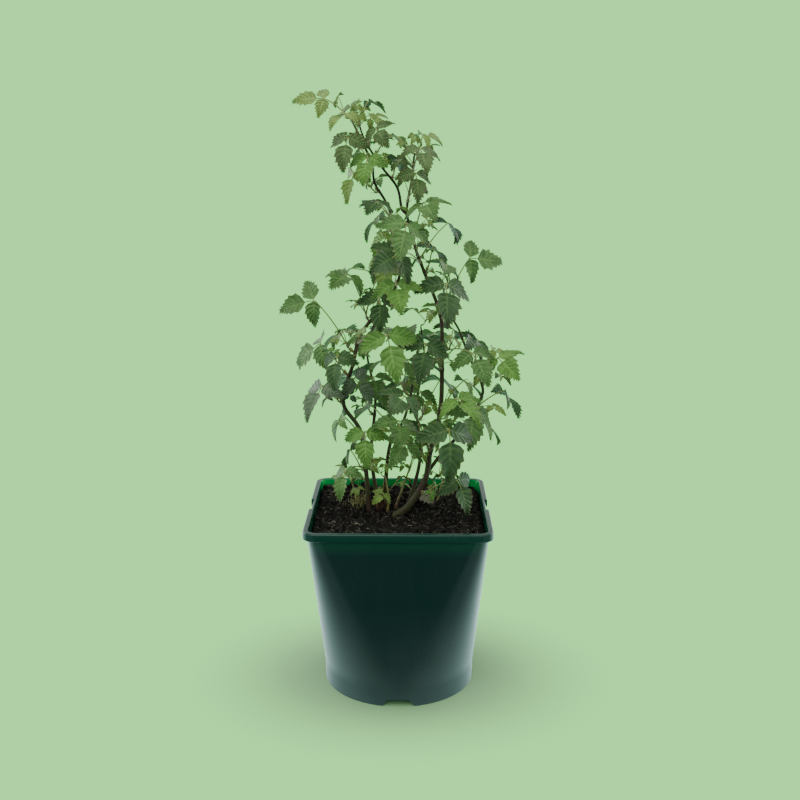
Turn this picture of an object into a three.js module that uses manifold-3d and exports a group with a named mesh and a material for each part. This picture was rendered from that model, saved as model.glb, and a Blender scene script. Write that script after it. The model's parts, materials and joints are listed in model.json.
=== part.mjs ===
import * as THREE from "three";
import Module from "manifold-3d";

const wasm = await Module();
wasm.setup();

// Potted bramble bush, millimetres, +Z up, origin on the ground under the middle of the pot

// Pot: square rim, round base
const POT_HEIGHT = 188;
const RIM_HALF = 92.4; // half the rim's outer width
const RIM_CORNER = 13;
const LIP_DEPTH = 8; // the turned-down lip
const LIP_WALL = 1.3;
const LIP_GAP = 32; // length of the gap in the lip at the middle of two sides
const BODY_HALF = 89; // half the body's width at the top
const BODY_CORNER = 11;
const BASE_RADIUS = 78.6; // the body is round here
const FOOT_RADIUS = 78.1;
const FOOT_HEIGHT = 17.4; // the foot ring stands upright up to here
const STEP_TOP = 22; // the body's straight taper starts here
const WALL = 1.8;
const FOOT_WALL = 2.2;
const FLOOR_UNDERSIDE = 8;
const FLOOR_THICKNESS = 2;
const NOTCH_HALF_BOTTOM = 16; // drainage notch in the foot ring
const NOTCH_HALF_TOP = 11;
const NOTCH_HEIGHT = 7.5;
const DRAINS = 4;
const DRAIN_RADIUS = 6;
const DRAIN_SIDES = 10;
const DRAIN_CIRCLE = 52; // drain holes' distance from the middle
const CORNER_STEPS = 6; // segments in a quarter turn
const FLATS = 0.2; // half the flats left between the quarters of a round section
const OVERCUT = 2; // how far a cut runs past the face it opens
const SLIVER = 0.02; // corners nearer than this are one

// Soil
const SOIL_LEVEL = 177;
const CLEARANCE = 0.3; // between neighbouring pieces
const SOIL_BUMP = 2.2;
const SOIL_WAVES = [9, 13, 8, 21]; // wave lengths over 2 pi
const SOIL_RINGS = [0.97, 0.86, 0.74, 0.6]; // from the wall in to the level middle

// Woody crown that the stems rise round
const CROWN_CENTRE = [-20, 10];
const CROWN_RADIUS = 6.2;
const CROWN_SIDES = 10;
const CROWN_LOBES = 3;
const LOBE_DEPTH = 0.09; // over the radius
const LOBE_TWIST = 0.25; // radians a millimetre
const CROWN_PROFILE = [[1, 0], [0.86, 5], [0.8, 14], [0.42, 19]]; // share of the radius, height

// Stems: foot and tip radius, then the bends; a branch also names its stem and fork height
const STEM_SIDES = 6;
const STEM_STEPS = 3; // rings from one bend to the next
const TAPER = 0.8; // power of the way along a stem
const FLARE = 0.45; // widening at the foot
const FLARE_LENGTH = 7;
const FOOT = SOIL_LEVEL + CLEARANCE;
const STEMS = {
  left_stem: {
    radii: [2.6, 1],
    bends: [
      [-31, 10, FOOT], [-35, 12, 225], [-40, 10, 264], [-57, 4, 296], [-46, 3, 336], [-38, 6, 366],
      [-9, 10, 402], [3, 8, 440], [-10, 0, 490], [-23, -6, 514], [-27, -10, 536], [-46, -14, 576],
    ],
  },
  right_stem: {
    radii: [3.4, 1],
    bends: [
      [-3, -6, FOOT], [10, -12, 190], [26, -15, 216], [32, -12, 250], [42, -4, 290], [43, 0, 350],
      [41, 2, 386], [25, 4, 428], [16, 2, 452], [8, -2, 486], [12, 0, 516], [15, 2, 542],
    ],
  },
  outer_stem: {
    radii: [2.4, 0.9],
    bends: [
      [8, 12, FOOT], [34, 22, 222], [64, 14, 262], [82, 6, 296], [84, 5, 314], [70, 5, 344],
      [60, 5, 370], [47, 8, 392], [44, 14, 412],
    ],
  },
  middle_stem: {
    radii: [2.6, 0.9],
    bends: [[-13, 20, FOOT], [-14, 21, 208], [-9, 12, 250], [5, 10, 276], [14, 14, 312], [18, 22, 344]],
  },
  back_stem: {
    radii: [2.4, 0.9],
    bends: [[-22, 27, FOOT], [-30, 42, 230], [-26, 58, 288], [-34, 56, 336], [-24, 48, 378]],
  },
  rear_stem: {
    radii: [2.2, 0.9],
    bends: [[10, 27, FOOT], [22, 46, 226], [18, 62, 280], [26, 56, 328], [22, 44, 368]],
  },
  top_branch: {
    radii: [1.5, 0.8],
    fork: ["right_stem", 486],
    bends: [[-2, -6, 511], [-19, -8, 533], [-33, -4, 556], [-39, 2, 572]],
  },
};

// Sprays of leaves, stem by stem: height on the stem, bearing and rise of the first leaf's stalk
// in degrees, its reach, length of its end leaflet, leaves in the spray, droop and lean of the
// first leaf in degrees, tone
const SPRAYS = {
  left_stem: [
    [574, 188, 58, 28, 24, 1, -14, 25, "young"],
    [562, 240, 40, 26, 21, 1, 25, 10, "young"],
    [552, 245, 15, 35, 26, 1, 62, 0, "bronze"],
    [528, 255, 20, 37, 24, 2, 35, 0, "bright"],
    [506, 205, 35, 31, 24, 1, 70, 0, "young"],
    [478, 250, 30, 48, 22, 2, 10, 15, "dark"],
    [468, 160, 50, 34, 24, 1, 50, 0, "mid"],
    [450, 250, 30, 50, 26, 2, 45, 0, "bright"],
    [432, 250, 20, 58, 26, 2, 62, 0, "young"],
    [412, 265, 12, 68, 31, 2, 40, 0, "bright"],
    [374, 246, 50, 68, 28, 2, 4, 35, "mid"],
    [345, 176, 52, 67, 32, 1, 14, 38, "mid"],
    [358, 295, 15, 78, 37, 1, 60, 0, "bright"],
    [386, 270, 25, 45, 28, 1, 62, 0, "dark"],
    [346, 250, 20, 42, 27, 1, 55, 0, "dark"],
    [318, 160, 45, 44, 33, 2, 35, 20, "mid"],
    [296, 235, 35, 39, 32, 2, 45, 10, "grey"],
    [256, 275, 25, 58, 29, 2, 62, 0, "bright"],
    [222, 245, 10, 43, 25, 2, 50, 0, "mid"],
  ],
  right_stem: [
    [260, 280, 20, 79, 40, 1, 66, 0, "dark"],
    [250, 250, 44, 103, 31, 1, 10, 25, "dark"],
    [240, 240, 35, 53, 26, 2, 25, 10, "mid"],
    [290, 280, 25, 58, 31, 2, 30, 10, "bright"],
    [322, 250, 35, 60, 32, 2, 60, 0, "dark"],
    [340, 308, 5, 46, 30, 2, 40, 0, "mid"],
    [392, 275, 38, 60, 37, 1, 50, 0, "dark"],
    [446, 260, 30, 72, 33, 1, 42, 0, "mid"],
    [458, 285, 40, 55, 31, 1, 14, 25, "mid"],
    [440, 255, 15, 76, 33, 2, 30, 10, "dark"],
    [430, 50, 60, 28, 27, 2, 35, 0, "bronze"],
    [486, 285, 45, 40, 24, 2, 50, 0, "bronze"],
    [524, 285, 38, 36, 26, 2, 35, 0, "bronze"],
    [538, 20, 65, 20, 20, 1, 15, 20, "young"],
    [206, 320, 25, 53, 29, 1, 60, 0, "dark"],
  ],
  top_branch: [
    [566, 240, 60, 18, 19, 2, 20, 20, "mid"],
    [552, 280, 20, 32, 21, 1, 15, 15, "bronze"],
    [540, 45, 40, 30, 20, 2, 25, 10, "young"],
    [518, 80, 30, 39, 23, 2, 30, 0, "dark"],
  ],
  outer_stem: [
    [286, 270, 20, 52, 34, 2, 48, 0, "mid"],
    [312, 300, 50, 42, 31, 1, 18, 35, "bright"],
    [336, 80, 30, 40, 30, 3, 20, 10, "mid"],
    [396, 15, 58, 49, 30, 2, 6, 35, "mid"],
    [256, 35, 10, 31, 27, 2, 40, 0, "bright"],
  ],
  middle_stem: [
    [262, 270, 30, 52, 33, 2, 20, 15, "mid"],
    [300, 155, 50, 47, 30, 3, 30, 0, "mid"],
    [342, 65, 55, 22, 28, 3, 20, 0, "mid"],
  ],
  back_stem: [
    [262, 130, 40, 60, 33, 3, 35, 0, "mid"],
    [342, 145, 35, 38, 32, 3, 30, 0, "mid"],
  ],
  rear_stem: [
    [256, 50, 45, 56, 33, 3, 35, 0, "mid"],
    [334, 70, 40, 40, 32, 3, 25, 0, "bright"],
  ],
};

// Leaf rule: a leaf is three leaflets at the end of a bowed stalk
const TRIES = 16; // places tried for a leaf before it is skipped
const SEED = 825;
const LEAF_TURN = THREE.MathUtils.degToRad(137.5); // from one leaf of a spray to the next
const TWIG_SHARE = 0.22; // twig's length as a share of the reach
const TWIG_LONGEST = 7;
const TWIG_LIFT = 0.2; // radians steeper than the stalk
const STALK_BOW = 0.14;
const STALK_SAMPLE = 3; // spacing of the points tested along a stalk
const LEAFLET_BEND = 0.55; // radians from base to tip
const LEAFLET_FOLD = 0.2; // radians that each half is folded up
const END_BREADTH = 0.78; // breadth over length of the end leaflet
const SIDE_BREADTH = 0.72;
const SIDE_SIZE = 0.84;
const SIDE_ANGLE = THREE.MathUtils.degToRad(76);
const SIDE_DIP = 0.18;
const END_STALK = 0.28; // end leaflet's own stalk over its length
const SIDE_STALK = 0.03;
const FACE_OUT = 0.5; // how far the leaves face away from the middle
const FACE_FRONT = 0.25; // and towards the light in front
const OUTLINE_RISE = 0.55; // powers of the leaflet's outline at its base and tip
const OUTLINE_FALL = 0.85;
const SAMPLE_ALONG = [0.08, 0.25, 0.42, 0.6, 0.78, 0.93, 1];
const SAMPLE_ACROSS = [-1, -0.5, 0, 0.5, 1];

const NEAR_MIDDLE = 30; // leaves nearer the middle than this face away from it less and less

// How a leaf's place varies
const SHIFT = 5; // of a first leaf, either way
const SHIFT_GROWTH = 0.12; // more of it with each try
const FIRST_TURN = 0.35; // radians either way, from the second try on
const ROLL = 0.25;
const TRIES_A_HAND = 6; // before a later leaf tries the stem's other hand
const AROUND = 0.4;
const LEAST_RISE = 0.1;
const MORE_RISE = 0.5;
const MOST_RISE = 1.2;
const LEAST_REACH = 22;
const LATER_REACH = 0.82; // over the first leaf's
const REACH_RANGE = [0.85, 1.1];
const LATER_TURN = 0.3;
const SAG_RANGE = [0.5, 1.2];
const LATER_SIZE = 0.94;
const LATER_LOSS = 0.08; // of reach and size from one later leaf to the next
const SPRAY_STRIDE = 1009; // seed's steps from spray to spray and leaf to leaf
const LEAF_STRIDE = 211;
const WARM_UP = 3; // random numbers passed over before the first that counts
const MULTIPLIER = 16807;
const MODULUS = 2147483647;

// Clearances that the leaves keep
const LEAF_CLEAR = 2.6;
const STALK_CLEAR = 2.2;
const STEM_CLEAR = 1.6;
const NEIGHBOUR_RANGE = 120;
const OWN_STEM_RANGE = 6; // a stalk is free to touch its own stem's clearance this near its root
const RIM_CLEAR_HEIGHT = POT_HEIGHT + 3;
const RIM_ZONE = [RIM_HALF - 16.4, RIM_HALF + 4.1]; // distance from the middle
const SOIL_CLEAR_HEIGHT = SOIL_LEVEL + 3.5;
const LOWEST_LEAF = POT_HEIGHT - 40;
const CHORD = 0.96; // straight length over the arched leaflet's length
const TIP_MARGIN = 2;
const EDGE_MARGIN = 1.5;
const TOP_LIMIT = 600;

// Solids of the leaves
const LEAF_THICKNESS = 0.8;
const LEAF_STATIONS = [0.2, 0.48, 0.78];
const TWIG_RADII = [1.4, 1.1];
const STALK_RADII = [0.9, 0.7];
const LATER_RADII = [0.5, 0.7]; // a later leaf's stalk starts within the twig's end
const JOINT_LENGTH = 2.4; // of the stalk, at the side leaflets' roots
const STALK_SEGMENTS = 2;
const ROOT_GAP = 0.4; // from a stem to a twig or branch
const FORK_SWING = 4;
const ROOT_STRAIGHT = 2.5; // a twig leaves its stem square for this far
const STALK_END = 0.03; // share of the end leaflet's length that the stalk runs along it

const BARK = { color: 0x4a3530, roughness: 0.7, metalness: 0 };
const TONES = {
  young: { color: 0x8fae3f, roughness: 0.6, metalness: 0 },
  bright: { color: 0x5f8f33, roughness: 0.6, metalness: 0 },
  mid: { color: 0x4f7d45, roughness: 0.65, metalness: 0 },
  dark: { color: 0x2f5535, roughness: 0.6, metalness: 0 },
  bronze: { color: 0x5c5a40, roughness: 0.6, metalness: 0 },
  grey: { color: 0x75897a, roughness: 0.7, metalness: 0 },
};

const UP = new THREE.Vector3(0, 0, 1);
const EAST = new THREE.Vector3(1, 0, 0);
const FORK_RISE = new THREE.Vector3(0, 0, 5); // a branch swings out and up over its first bend
const bush = new THREE.Group();
bush.name = "potted_bramble_bush";

const vector = (p) => new THREE.Vector3(...p);
const radians = THREE.MathUtils.degToRad;

function addPiece(name, geometry, look) {
  const piece = new THREE.Mesh(geometry, new THREE.MeshStandardMaterial(look));
  piece.name = name;
  bush.add(piece);
}

// A surface built up from rings of points, each ring turning left as seen from the next one
function makeSurface() {
  const points = [];
  const faces = [];
  return {
    // Adds a ring and gives its points' numbers
    ring(corners) {
      return corners.map((corner) => points.push(corner) - 1);
    },
    // Faces from one ring to the next, but for the sides that are left open
    join(from, to, open = []) {
      from.forEach((a, k) => {
        const next = (k + 1) % from.length;
        if (!open.includes(k)) faces.push(a, from[next], to[next], a, to[next], to[k]);
      });
    },
    // Closes a ring to its apex, or flat without one
    close(ring, apex, atStart) {
      const hub = apex ? points.push(apex) - 1 : ring[0];
      const rim = apex ? [...ring, ring[0]] : ring.slice(1);
      for (let k = 0; k + 1 < rim.length; k += 1) {
        faces.push(...(atStart ? [hub, rim[k + 1], rim[k]] : [hub, rim[k], rim[k + 1]]));
      }
    },
    geometry() {
      const geometry = new THREE.BufferGeometry().setFromPoints(points);
      geometry.setIndex(faces);
      return geometry;
    },
  };
}

// A closed surface with flat ends over a row of rings
function skin(rings) {
  const surface = makeSurface();
  const numbered = rings.map((ring) => surface.ring(ring));
  numbered.slice(1).forEach((ring, i) => surface.join(numbered[i], ring));
  surface.close(numbered[0], undefined, true);
  surface.close(numbered[numbered.length - 1]);
  return surface.geometry();
}

function solidFrom(geometry) {
  return new wasm.Manifold(
    new wasm.Mesh({
      numProp: 3,
      vertProperties: new Float32Array(geometry.attributes.position.array),
      triVerts: new Uint32Array(geometry.index.array),
    }),
  );
}

function geometryFrom(solid) {
  const mesh = solid.getMesh();
  const geometry = new THREE.BufferGeometry();
  geometry.setAttribute("position", new THREE.BufferAttribute(mesh.vertProperties, 3));
  geometry.setIndex(new THREE.BufferAttribute(mesh.triVerts, 1));
  return geometry;
}

// Pot and soil

// A rounded square turning left as seen from above
function roundedSquare(half, corner, z) {
  const points = [];
  for (let quarter = 0; quarter < 4; quarter += 1) {
    const middle = (quarter + 0.5) * (Math.PI / 2);
    const cx = Math.sign(Math.cos(middle)) * (half - corner);
    const cy = Math.sign(Math.sin(middle)) * (half - corner);
    for (let step = 0; step <= CORNER_STEPS; step += 1) {
      const angle = (quarter + step / CORNER_STEPS) * (Math.PI / 2);
      points.push(new THREE.Vector3(cx + corner * Math.cos(angle), cy + corner * Math.sin(angle), z));
    }
  }
  return points;
}

// The body's section, drawn in by inset, with the rings on one height matching point for point
function bodyRing(inset, z) {
  if (z <= FOOT_HEIGHT) return nearCircle(FOOT_RADIUS - inset, z);
  const share = Math.max(0, (z - STEP_TOP) / (POT_HEIGHT - STEP_TOP));
  const half = THREE.MathUtils.lerp(BASE_RADIUS, BODY_HALF, share) - inset;
  const corner = THREE.MathUtils.lerp(BASE_RADIUS - FLATS, BODY_CORNER, share) - inset;
  return roundedSquare(half, corner, z);
}

// A circle with the point count of a rounded square
function nearCircle(radius, z) {
  return roundedSquare(radius, radius - FLATS, z);
}

function loft(rings) {
  return solidFrom(skin(rings));
}

// A notch's tapering section, long enough to cut both sides of the foot ring
function notchCutter() {
  const slope = (NOTCH_HALF_BOTTOM - NOTCH_HALF_TOP) / NOTCH_HEIGHT;
  const lowest = NOTCH_HALF_BOTTOM + slope * OVERCUT;
  const outline = new THREE.Shape([
    new THREE.Vector2(-lowest, -OVERCUT),
    new THREE.Vector2(lowest, -OVERCUT),
    new THREE.Vector2(NOTCH_HALF_TOP, NOTCH_HEIGHT),
    new THREE.Vector2(-NOTCH_HALF_TOP, NOTCH_HEIGHT),
  ]);
  const length = 2 * (FOOT_RADIUS + OVERCUT);
  const cutter = new THREE.ExtrudeGeometry(outline, { depth: length, bevelEnabled: false });
  cutter.rotateX(Math.PI / 2).translate(0, length / 2, 0);
  return solidFrom(merged(cutter, SLIVER));
}

// The same geometry with corners nearer than a span made one, and the faces that this empties left out
function merged(geometry, span) {
  const source = geometry.index ? geometry.toNonIndexed() : geometry;
  const position = source.attributes.position;
  const points = [];
  const numbers = [];
  for (let i = 0; i < position.count; i += 1) {
    const point = new THREE.Vector3().fromBufferAttribute(position, i);
    const known = points.findIndex((other) => other.distanceTo(point) < span);
    numbers.push(known < 0 ? points.push(point) - 1 : known);
  }
  const faces = [];
  for (let i = 0; i < numbers.length; i += 3) {
    const corners = numbers.slice(i, i + 3);
    if (new Set(corners).size === 3) faces.push(...corners);
  }
  const joined = new THREE.BufferGeometry().setFromPoints(points);
  joined.setIndex(faces);
  return joined;
}

function makePot() {
  const outer = loft([0, FOOT_HEIGHT, STEP_TOP, POT_HEIGHT].map((z) => bodyRing(0, z)));
  const lipLoft = (inset, heights) =>
    loft(heights.map((z) => roundedSquare(RIM_HALF - inset, RIM_CORNER - inset, z)));
  const lipOuter = lipLoft(0, [POT_HEIGHT - LIP_DEPTH, POT_HEIGHT]);
  const lipInner = lipLoft(LIP_WALL, [POT_HEIGHT - LIP_DEPTH - OVERCUT, POT_HEIGHT - LIP_WALL]);
  const floorTop = FLOOR_UNDERSIDE + FLOOR_THICKNESS;
  const cavityHeights = [floorTop, FOOT_HEIGHT, STEP_TOP, POT_HEIGHT + OVERCUT];
  const cavity = loft(cavityHeights.map((z) => bodyRing(WALL, z)));
  const footHollow = loft([-OVERCUT, FLOOR_UNDERSIDE].map((z) => nearCircle(FOOT_RADIUS - FOOT_WALL, z)));
  const gap = RIM_HALF - BODY_HALF + OVERCUT;
  let pot = lipOuter.subtract(lipInner);
  for (const side of [-1, 1]) {
    const cutter = new THREE.BoxGeometry(gap, LIP_GAP, LIP_DEPTH + OVERCUT);
    cutter.translate(side * (BODY_HALF + gap / 2), 0, POT_HEIGHT - LIP_DEPTH / 2);
    pot = pot.subtract(solidFrom(merged(cutter, SLIVER)));
  }
  pot = pot.add(outer).subtract(cavity).subtract(footHollow);
  const notch = notchCutter();
  pot = pot.subtract(notch).subtract(notch.rotate([0, 0, 90]));
  for (let k = 0; k < DRAINS; k += 1) {
    const angle = ((k + 0.5) / DRAINS) * 2 * Math.PI;
    const depth = FLOOR_THICKNESS + 2 * OVERCUT;
    const drain = new THREE.CylinderGeometry(DRAIN_RADIUS, DRAIN_RADIUS, depth, DRAIN_SIDES);
    drain.rotateX(Math.PI / 2).translate(DRAIN_CIRCLE, 0, floorTop - FLOOR_THICKNESS / 2).rotateZ(angle);
    pot = pot.subtract(solidFrom(merged(drain, SLIVER)));
  }
  return geometryFrom(pot);
}

// Uneven soil: low waves that die out towards the level middle
function soilHeight(x, y, share) {
  const [first, bend, second, slant] = SOIL_WAVES;
  const waves = Math.sin(x / first + Math.sin(y / bend)) + Math.sin(y / second - x / slant);
  return SOIL_LEVEL + 0.5 * SOIL_BUMP * share * waves;
}

function makeSoil() {
  const inset = WALL + CLEARANCE;
  const bottom = FLOOR_UNDERSIDE + FLOOR_THICKNESS + CLEARANCE;
  const edge = bodyRing(inset, SOIL_LEVEL - SOIL_BUMP);
  const rings = [bodyRing(inset, bottom), bodyRing(inset, FOOT_HEIGHT), bodyRing(inset, STEP_TOP), edge];
  SOIL_RINGS.forEach((scale, k) => {
    const share = 1 - k / (SOIL_RINGS.length - 1);
    const level = edge.map(({ x, y }) => new THREE.Vector2(x * scale, y * scale));
    rings.push(level.map(({ x, y }) => new THREE.Vector3(x, y, soilHeight(x, y, share))));
  });
  return skin(rings);
}

function makeCrown() {
  const rings = CROWN_PROFILE.map(([share, height]) => {
    const ring = [];
    for (let k = 0; k < CROWN_SIDES; k += 1) {
      const angle = (k / CROWN_SIDES) * 2 * Math.PI;
      const lobe = Math.sin(CROWN_LOBES * angle + LOBE_TWIST * height) - 1;
      const radius = CROWN_RADIUS * share * (1 + LOBE_DEPTH * lobe);
      ring.push(
        new THREE.Vector3(
          CROWN_CENTRE[0] + radius * Math.cos(angle),
          CROWN_CENTRE[1] + radius * Math.sin(angle),
          FOOT + height,
        ),
      );
    }
    return ring;
  });
  return skin(rings);
}

// Stems

// Rings round the points of a path; their first corner is turned from the side that across names
function tubeRings(path, radii, sides, across, turn, startTangent) {
  return path.map((point, i) => {
    const before = path[Math.max(i - 1, 0)];
    const after = path[Math.min(i + 1, path.length - 1)];
    const tangent = i === 0 && startTangent ? startTangent : after.clone().sub(before).normalize();
    const first = across.clone().addScaledVector(tangent, -across.dot(tangent)).normalize();
    const second = tangent.clone().cross(first);
    const ring = [];
    for (let k = 0; k < sides; k += 1) {
      const angle = turn + (k / sides) * 2 * Math.PI;
      ring.push(
        point
          .clone()
          .addScaledVector(first, radii[i] * Math.cos(angle))
          .addScaledVector(second, radii[i] * Math.sin(angle)),
      );
    }
    return ring;
  });
}

// Centre line, radii and directions of a stem, ring by ring
function traceStem({ radii, bends, fork }, traced) {
  const points = bends.map(vector);
  const start = fork && rootOn(traced[fork[0]], freeRing(traced[fork[0]], fork[1]), points[0]);
  if (fork) {
    const swing = start.root.clone().addScaledVector(start.out, FORK_SWING).add(FORK_RISE);
    points.unshift(start.root, swing);
  }
  const curve = new THREE.CatmullRomCurve3(points, false, "catmullrom", 0.5);
  const path = curve.getPoints((points.length - 1) * STEM_STEPS);
  const lengths = [0];
  for (let i = 1; i < path.length; i += 1) lengths.push(lengths[i - 1] + path[i].distanceTo(path[i - 1]));
  const total = lengths[lengths.length - 1];
  const widths = lengths.map((length) => {
    const taper = radii[0] + (radii[1] - radii[0]) * (length / total) ** TAPER;
    return taper * (1 + (fork ? 0 : FLARE * Math.exp(-length / FLARE_LENGTH)));
  });
  const directions = path.map((_, i) =>
    path[Math.min(i + 1, path.length - 1)].clone().sub(path[Math.max(i - 1, 0)]).normalize(),
  );
  return { path, widths, directions, startTangent: fork ? start.out : UP, taken: new Set() };
}

// The stem's ring nearest to a height that no other twig grows from
function freeRing(stem, height) {
  let nearest = 1;
  stem.path.forEach((point, i) => {
    const closer = Math.abs(point.z - height) < Math.abs(stem.path[nearest].z - height);
    if (i > 0 && !stem.taken.has(i) && (closer || stem.taken.has(nearest))) nearest = i;
  });
  stem.taken.add(nearest);
  return nearest;
}

// Where a twig or branch starts: a hair off the stem's surface, square to it, on the target's side
function rootOn(stem, ring, target) {
  const node = stem.path[ring];
  const along = stem.directions[ring];
  const out = target.clone().sub(node);
  out.addScaledVector(along, -out.dot(along)).normalize();
  return { out, root: node.clone().addScaledVector(out, stem.widths[ring] + ROOT_GAP) };
}

// Leaves

// Park-Miller random numbers, the same on every run
function randomFrom(seed) {
  let state = seed;
  return (low, high) => {
    state = (state * MULTIPLIER) % MODULUS;
    return low + ((high - low) * state) / MODULUS;
  };
}

function seedFor(sprayIndex, leafIndex) {
  const random = randomFrom(SEED + SPRAY_STRIDE * sprayIndex + LEAF_STRIDE * leafIndex);
  for (let k = 0; k < WARM_UP; k += 1) random(0, 1);
  return random;
}

function onBearing(bearing, rise, length) {
  return new THREE.Vector3(
    length * Math.cos(bearing) * Math.cos(rise),
    length * Math.sin(bearing) * Math.cos(rise),
    length * Math.sin(rise),
  );
}

// Half the leaflet's breadth at share u of its length, widest a little under the middle
function halfBreadth(leaflet, u) {
  const peak = OUTLINE_RISE / (OUTLINE_RISE + OUTLINE_FALL);
  const scale = peak ** OUTLINE_RISE * (1 - peak) ** OUTLINE_FALL;
  const share = u ** OUTLINE_RISE * Math.max(0, 1 - u) ** OUTLINE_FALL;
  return (0.5 * leaflet.breadth * leaflet.length * share) / scale;
}

// A point of the arched, folded leaflet: u runs from base to tip, v from edge to edge
function leafletPoint(leaflet, u, v) {
  const turn = LEAFLET_BEND * u;
  const radius = leaflet.length / LEAFLET_BEND;
  const offset = halfBreadth(leaflet, u) * v;
  const lift = Math.abs(offset) * Math.sin(LEAFLET_FOLD) - radius * (1 - Math.cos(turn));
  return leaflet.base
    .clone()
    .addScaledVector(leaflet.forward, radius * Math.sin(turn))
    .addScaledVector(leaflet.side, offset * Math.cos(LEAFLET_FOLD))
    .addScaledVector(leaflet.face, lift);
}

function makeLeaflet(base, forward, face, length, breadth) {
  const side = face.clone().cross(forward);
  const leaflet = { base, forward, face, side, length, breadth };
  leaflet.samples = SAMPLE_ALONG.flatMap((u) => SAMPLE_ACROSS.map((v) => leafletPoint(leaflet, u, v)));
  return leaflet;
}

// A leaf on its stalk: the end leaflet points the way the stalk runs, turned, drooped and rolled
function makeLeaf({ root, out }, shoot, junction, size, droop, roll, turn) {
  const reach = junction.clone().sub(shoot);
  const bow = shoot.clone().addScaledVector(reach, 0.5).addScaledVector(UP, STALK_BOW * reach.length());
  const curve = new THREE.QuadraticBezierCurve3(shoot, bow, junction);
  const bearing = Math.atan2(reach.y, reach.x);
  const forward = onBearing(bearing + turn, -droop, 1);
  const outward = new THREE.Vector3(junction.x, junction.y, 0);
  outward.divideScalar(Math.max(outward.length(), NEAR_MIDDLE));
  const level = UP.clone().addScaledVector(outward, FACE_OUT);
  level.y -= FACE_FRONT;
  level.addScaledVector(forward, -level.dot(forward)).normalize();
  const face = level.clone().multiplyScalar(Math.cos(roll));
  face.addScaledVector(level.clone().cross(forward), Math.sin(roll));
  const side = face.clone().cross(forward);
  const endBase = junction.clone().addScaledVector(forward, END_STALK * size);
  const leaflets = [makeLeaflet(endBase, forward, face, size, END_BREADTH)];
  for (const hand of [-1, 1]) {
    const away = forward.clone().multiplyScalar(Math.cos(SIDE_ANGLE));
    away.addScaledVector(side, hand * Math.sin(SIDE_ANGLE)).addScaledVector(face, -SIDE_DIP).normalize();
    const sideFace = face.clone().addScaledVector(away, -face.dot(away)).normalize();
    const base = junction.clone().addScaledVector(away, SIDE_STALK * size);
    leaflets.push(makeLeaflet(base, away, sideFace, SIDE_SIZE * size, SIDE_BREADTH));
  }
  const samples = curve.getPoints(Math.max(3, Math.floor(reach.length() / STALK_SAMPLE)));
  samples.push(root, root.clone().addScaledVector(out, ROOT_STRAIGHT));
  return { root, out, junction, curve, bearing, leaflets, samples };
}

// Whether any of the points lies within the clearance of the leaflet's blade
function nearBlade(leaflet, points, clearance) {
  return points.some((point) => {
    const offset = point.clone().sub(leaflet.base);
    const x = offset.dot(leaflet.forward);
    const y = Math.abs(offset.dot(leaflet.side));
    const chord = leaflet.length * CHORD;
    if (x < -TIP_MARGIN || x > chord + TIP_MARGIN) return false;
    const u = THREE.MathUtils.clamp(x / chord, 0, 1);
    if (y > halfBreadth(leaflet, u) + EDGE_MARGIN) return false;
    const surface = (-x * x * LEAFLET_BEND) / (2 * leaflet.length) + y * Math.tan(LEAFLET_FOLD);
    return Math.abs(offset.dot(leaflet.face) - surface) < clearance;
  });
}

function nearPoints(first, second, clearance) {
  return first.some((a) => second.some((b) => a.distanceTo(b) < clearance));
}

function nearStem(stem, points, clearance) {
  const nearest = new THREE.Vector3();
  return stem.path.slice(1).some((end, i) => {
    const stretch = new THREE.Line3(stem.path[i], end);
    const reach = stem.widths[i] + clearance;
    const distance = (point) => stretch.closestPointToPoint(point, true, nearest).distanceTo(point);
    return points.some((point) => distance(point) < reach);
  });
}

// Leaves stay above the soil and the rim and under the bush's top
function leavesSpace(points) {
  const [overRim, besideRim] = RIM_ZONE;
  return points.some((point) => {
    const far = Math.max(Math.abs(point.x), Math.abs(point.y));
    const floor = far > overRim ? RIM_CLEAR_HEIGHT : SOIL_CLEAR_HEIGHT;
    return point.z > TOP_LIMIT || (point.z < floor && far < besideRim) || point.z < LOWEST_LEAF;
  });
}

// Whether a leaf's stalk or blades come too near the other's blades
function bladesTouch(leaf, other) {
  const points = leaf.leaflets.flatMap((leaflet) => leaflet.samples);
  return other.leaflets.some(
    (blade) => nearBlade(blade, leaf.samples, STALK_CLEAR) || nearBlade(blade, points, LEAF_CLEAR),
  );
}

// Whether the leaf would leave its space, or touch a stem or another leaf
function touches(leaf, spray, grown, stems) {
  const points = leaf.leaflets.flatMap((leaflet) => leaflet.samples);
  if (leavesSpace(points)) return true;
  const clearOfRoot = leaf.samples.filter((point) => point.distanceTo(leaf.root) > OWN_STEM_RANGE);
  for (const stem of Object.values(stems)) {
    if (nearStem(stem, points, STEM_CLEAR)) return true;
    if (nearStem(stem, stem === spray.stem ? clearOfRoot : leaf.samples, STEM_CLEAR)) return true;
  }
  return grown.some((other) => {
    if (other.junction.distanceTo(leaf.junction) > NEIGHBOUR_RANGE) return false;
    if (other.spray !== spray && nearPoints(other.samples, leaf.samples, STALK_CLEAR)) return true;
    return bladesTouch(leaf, other) || bladesTouch(other, leaf);
  });
}

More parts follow.
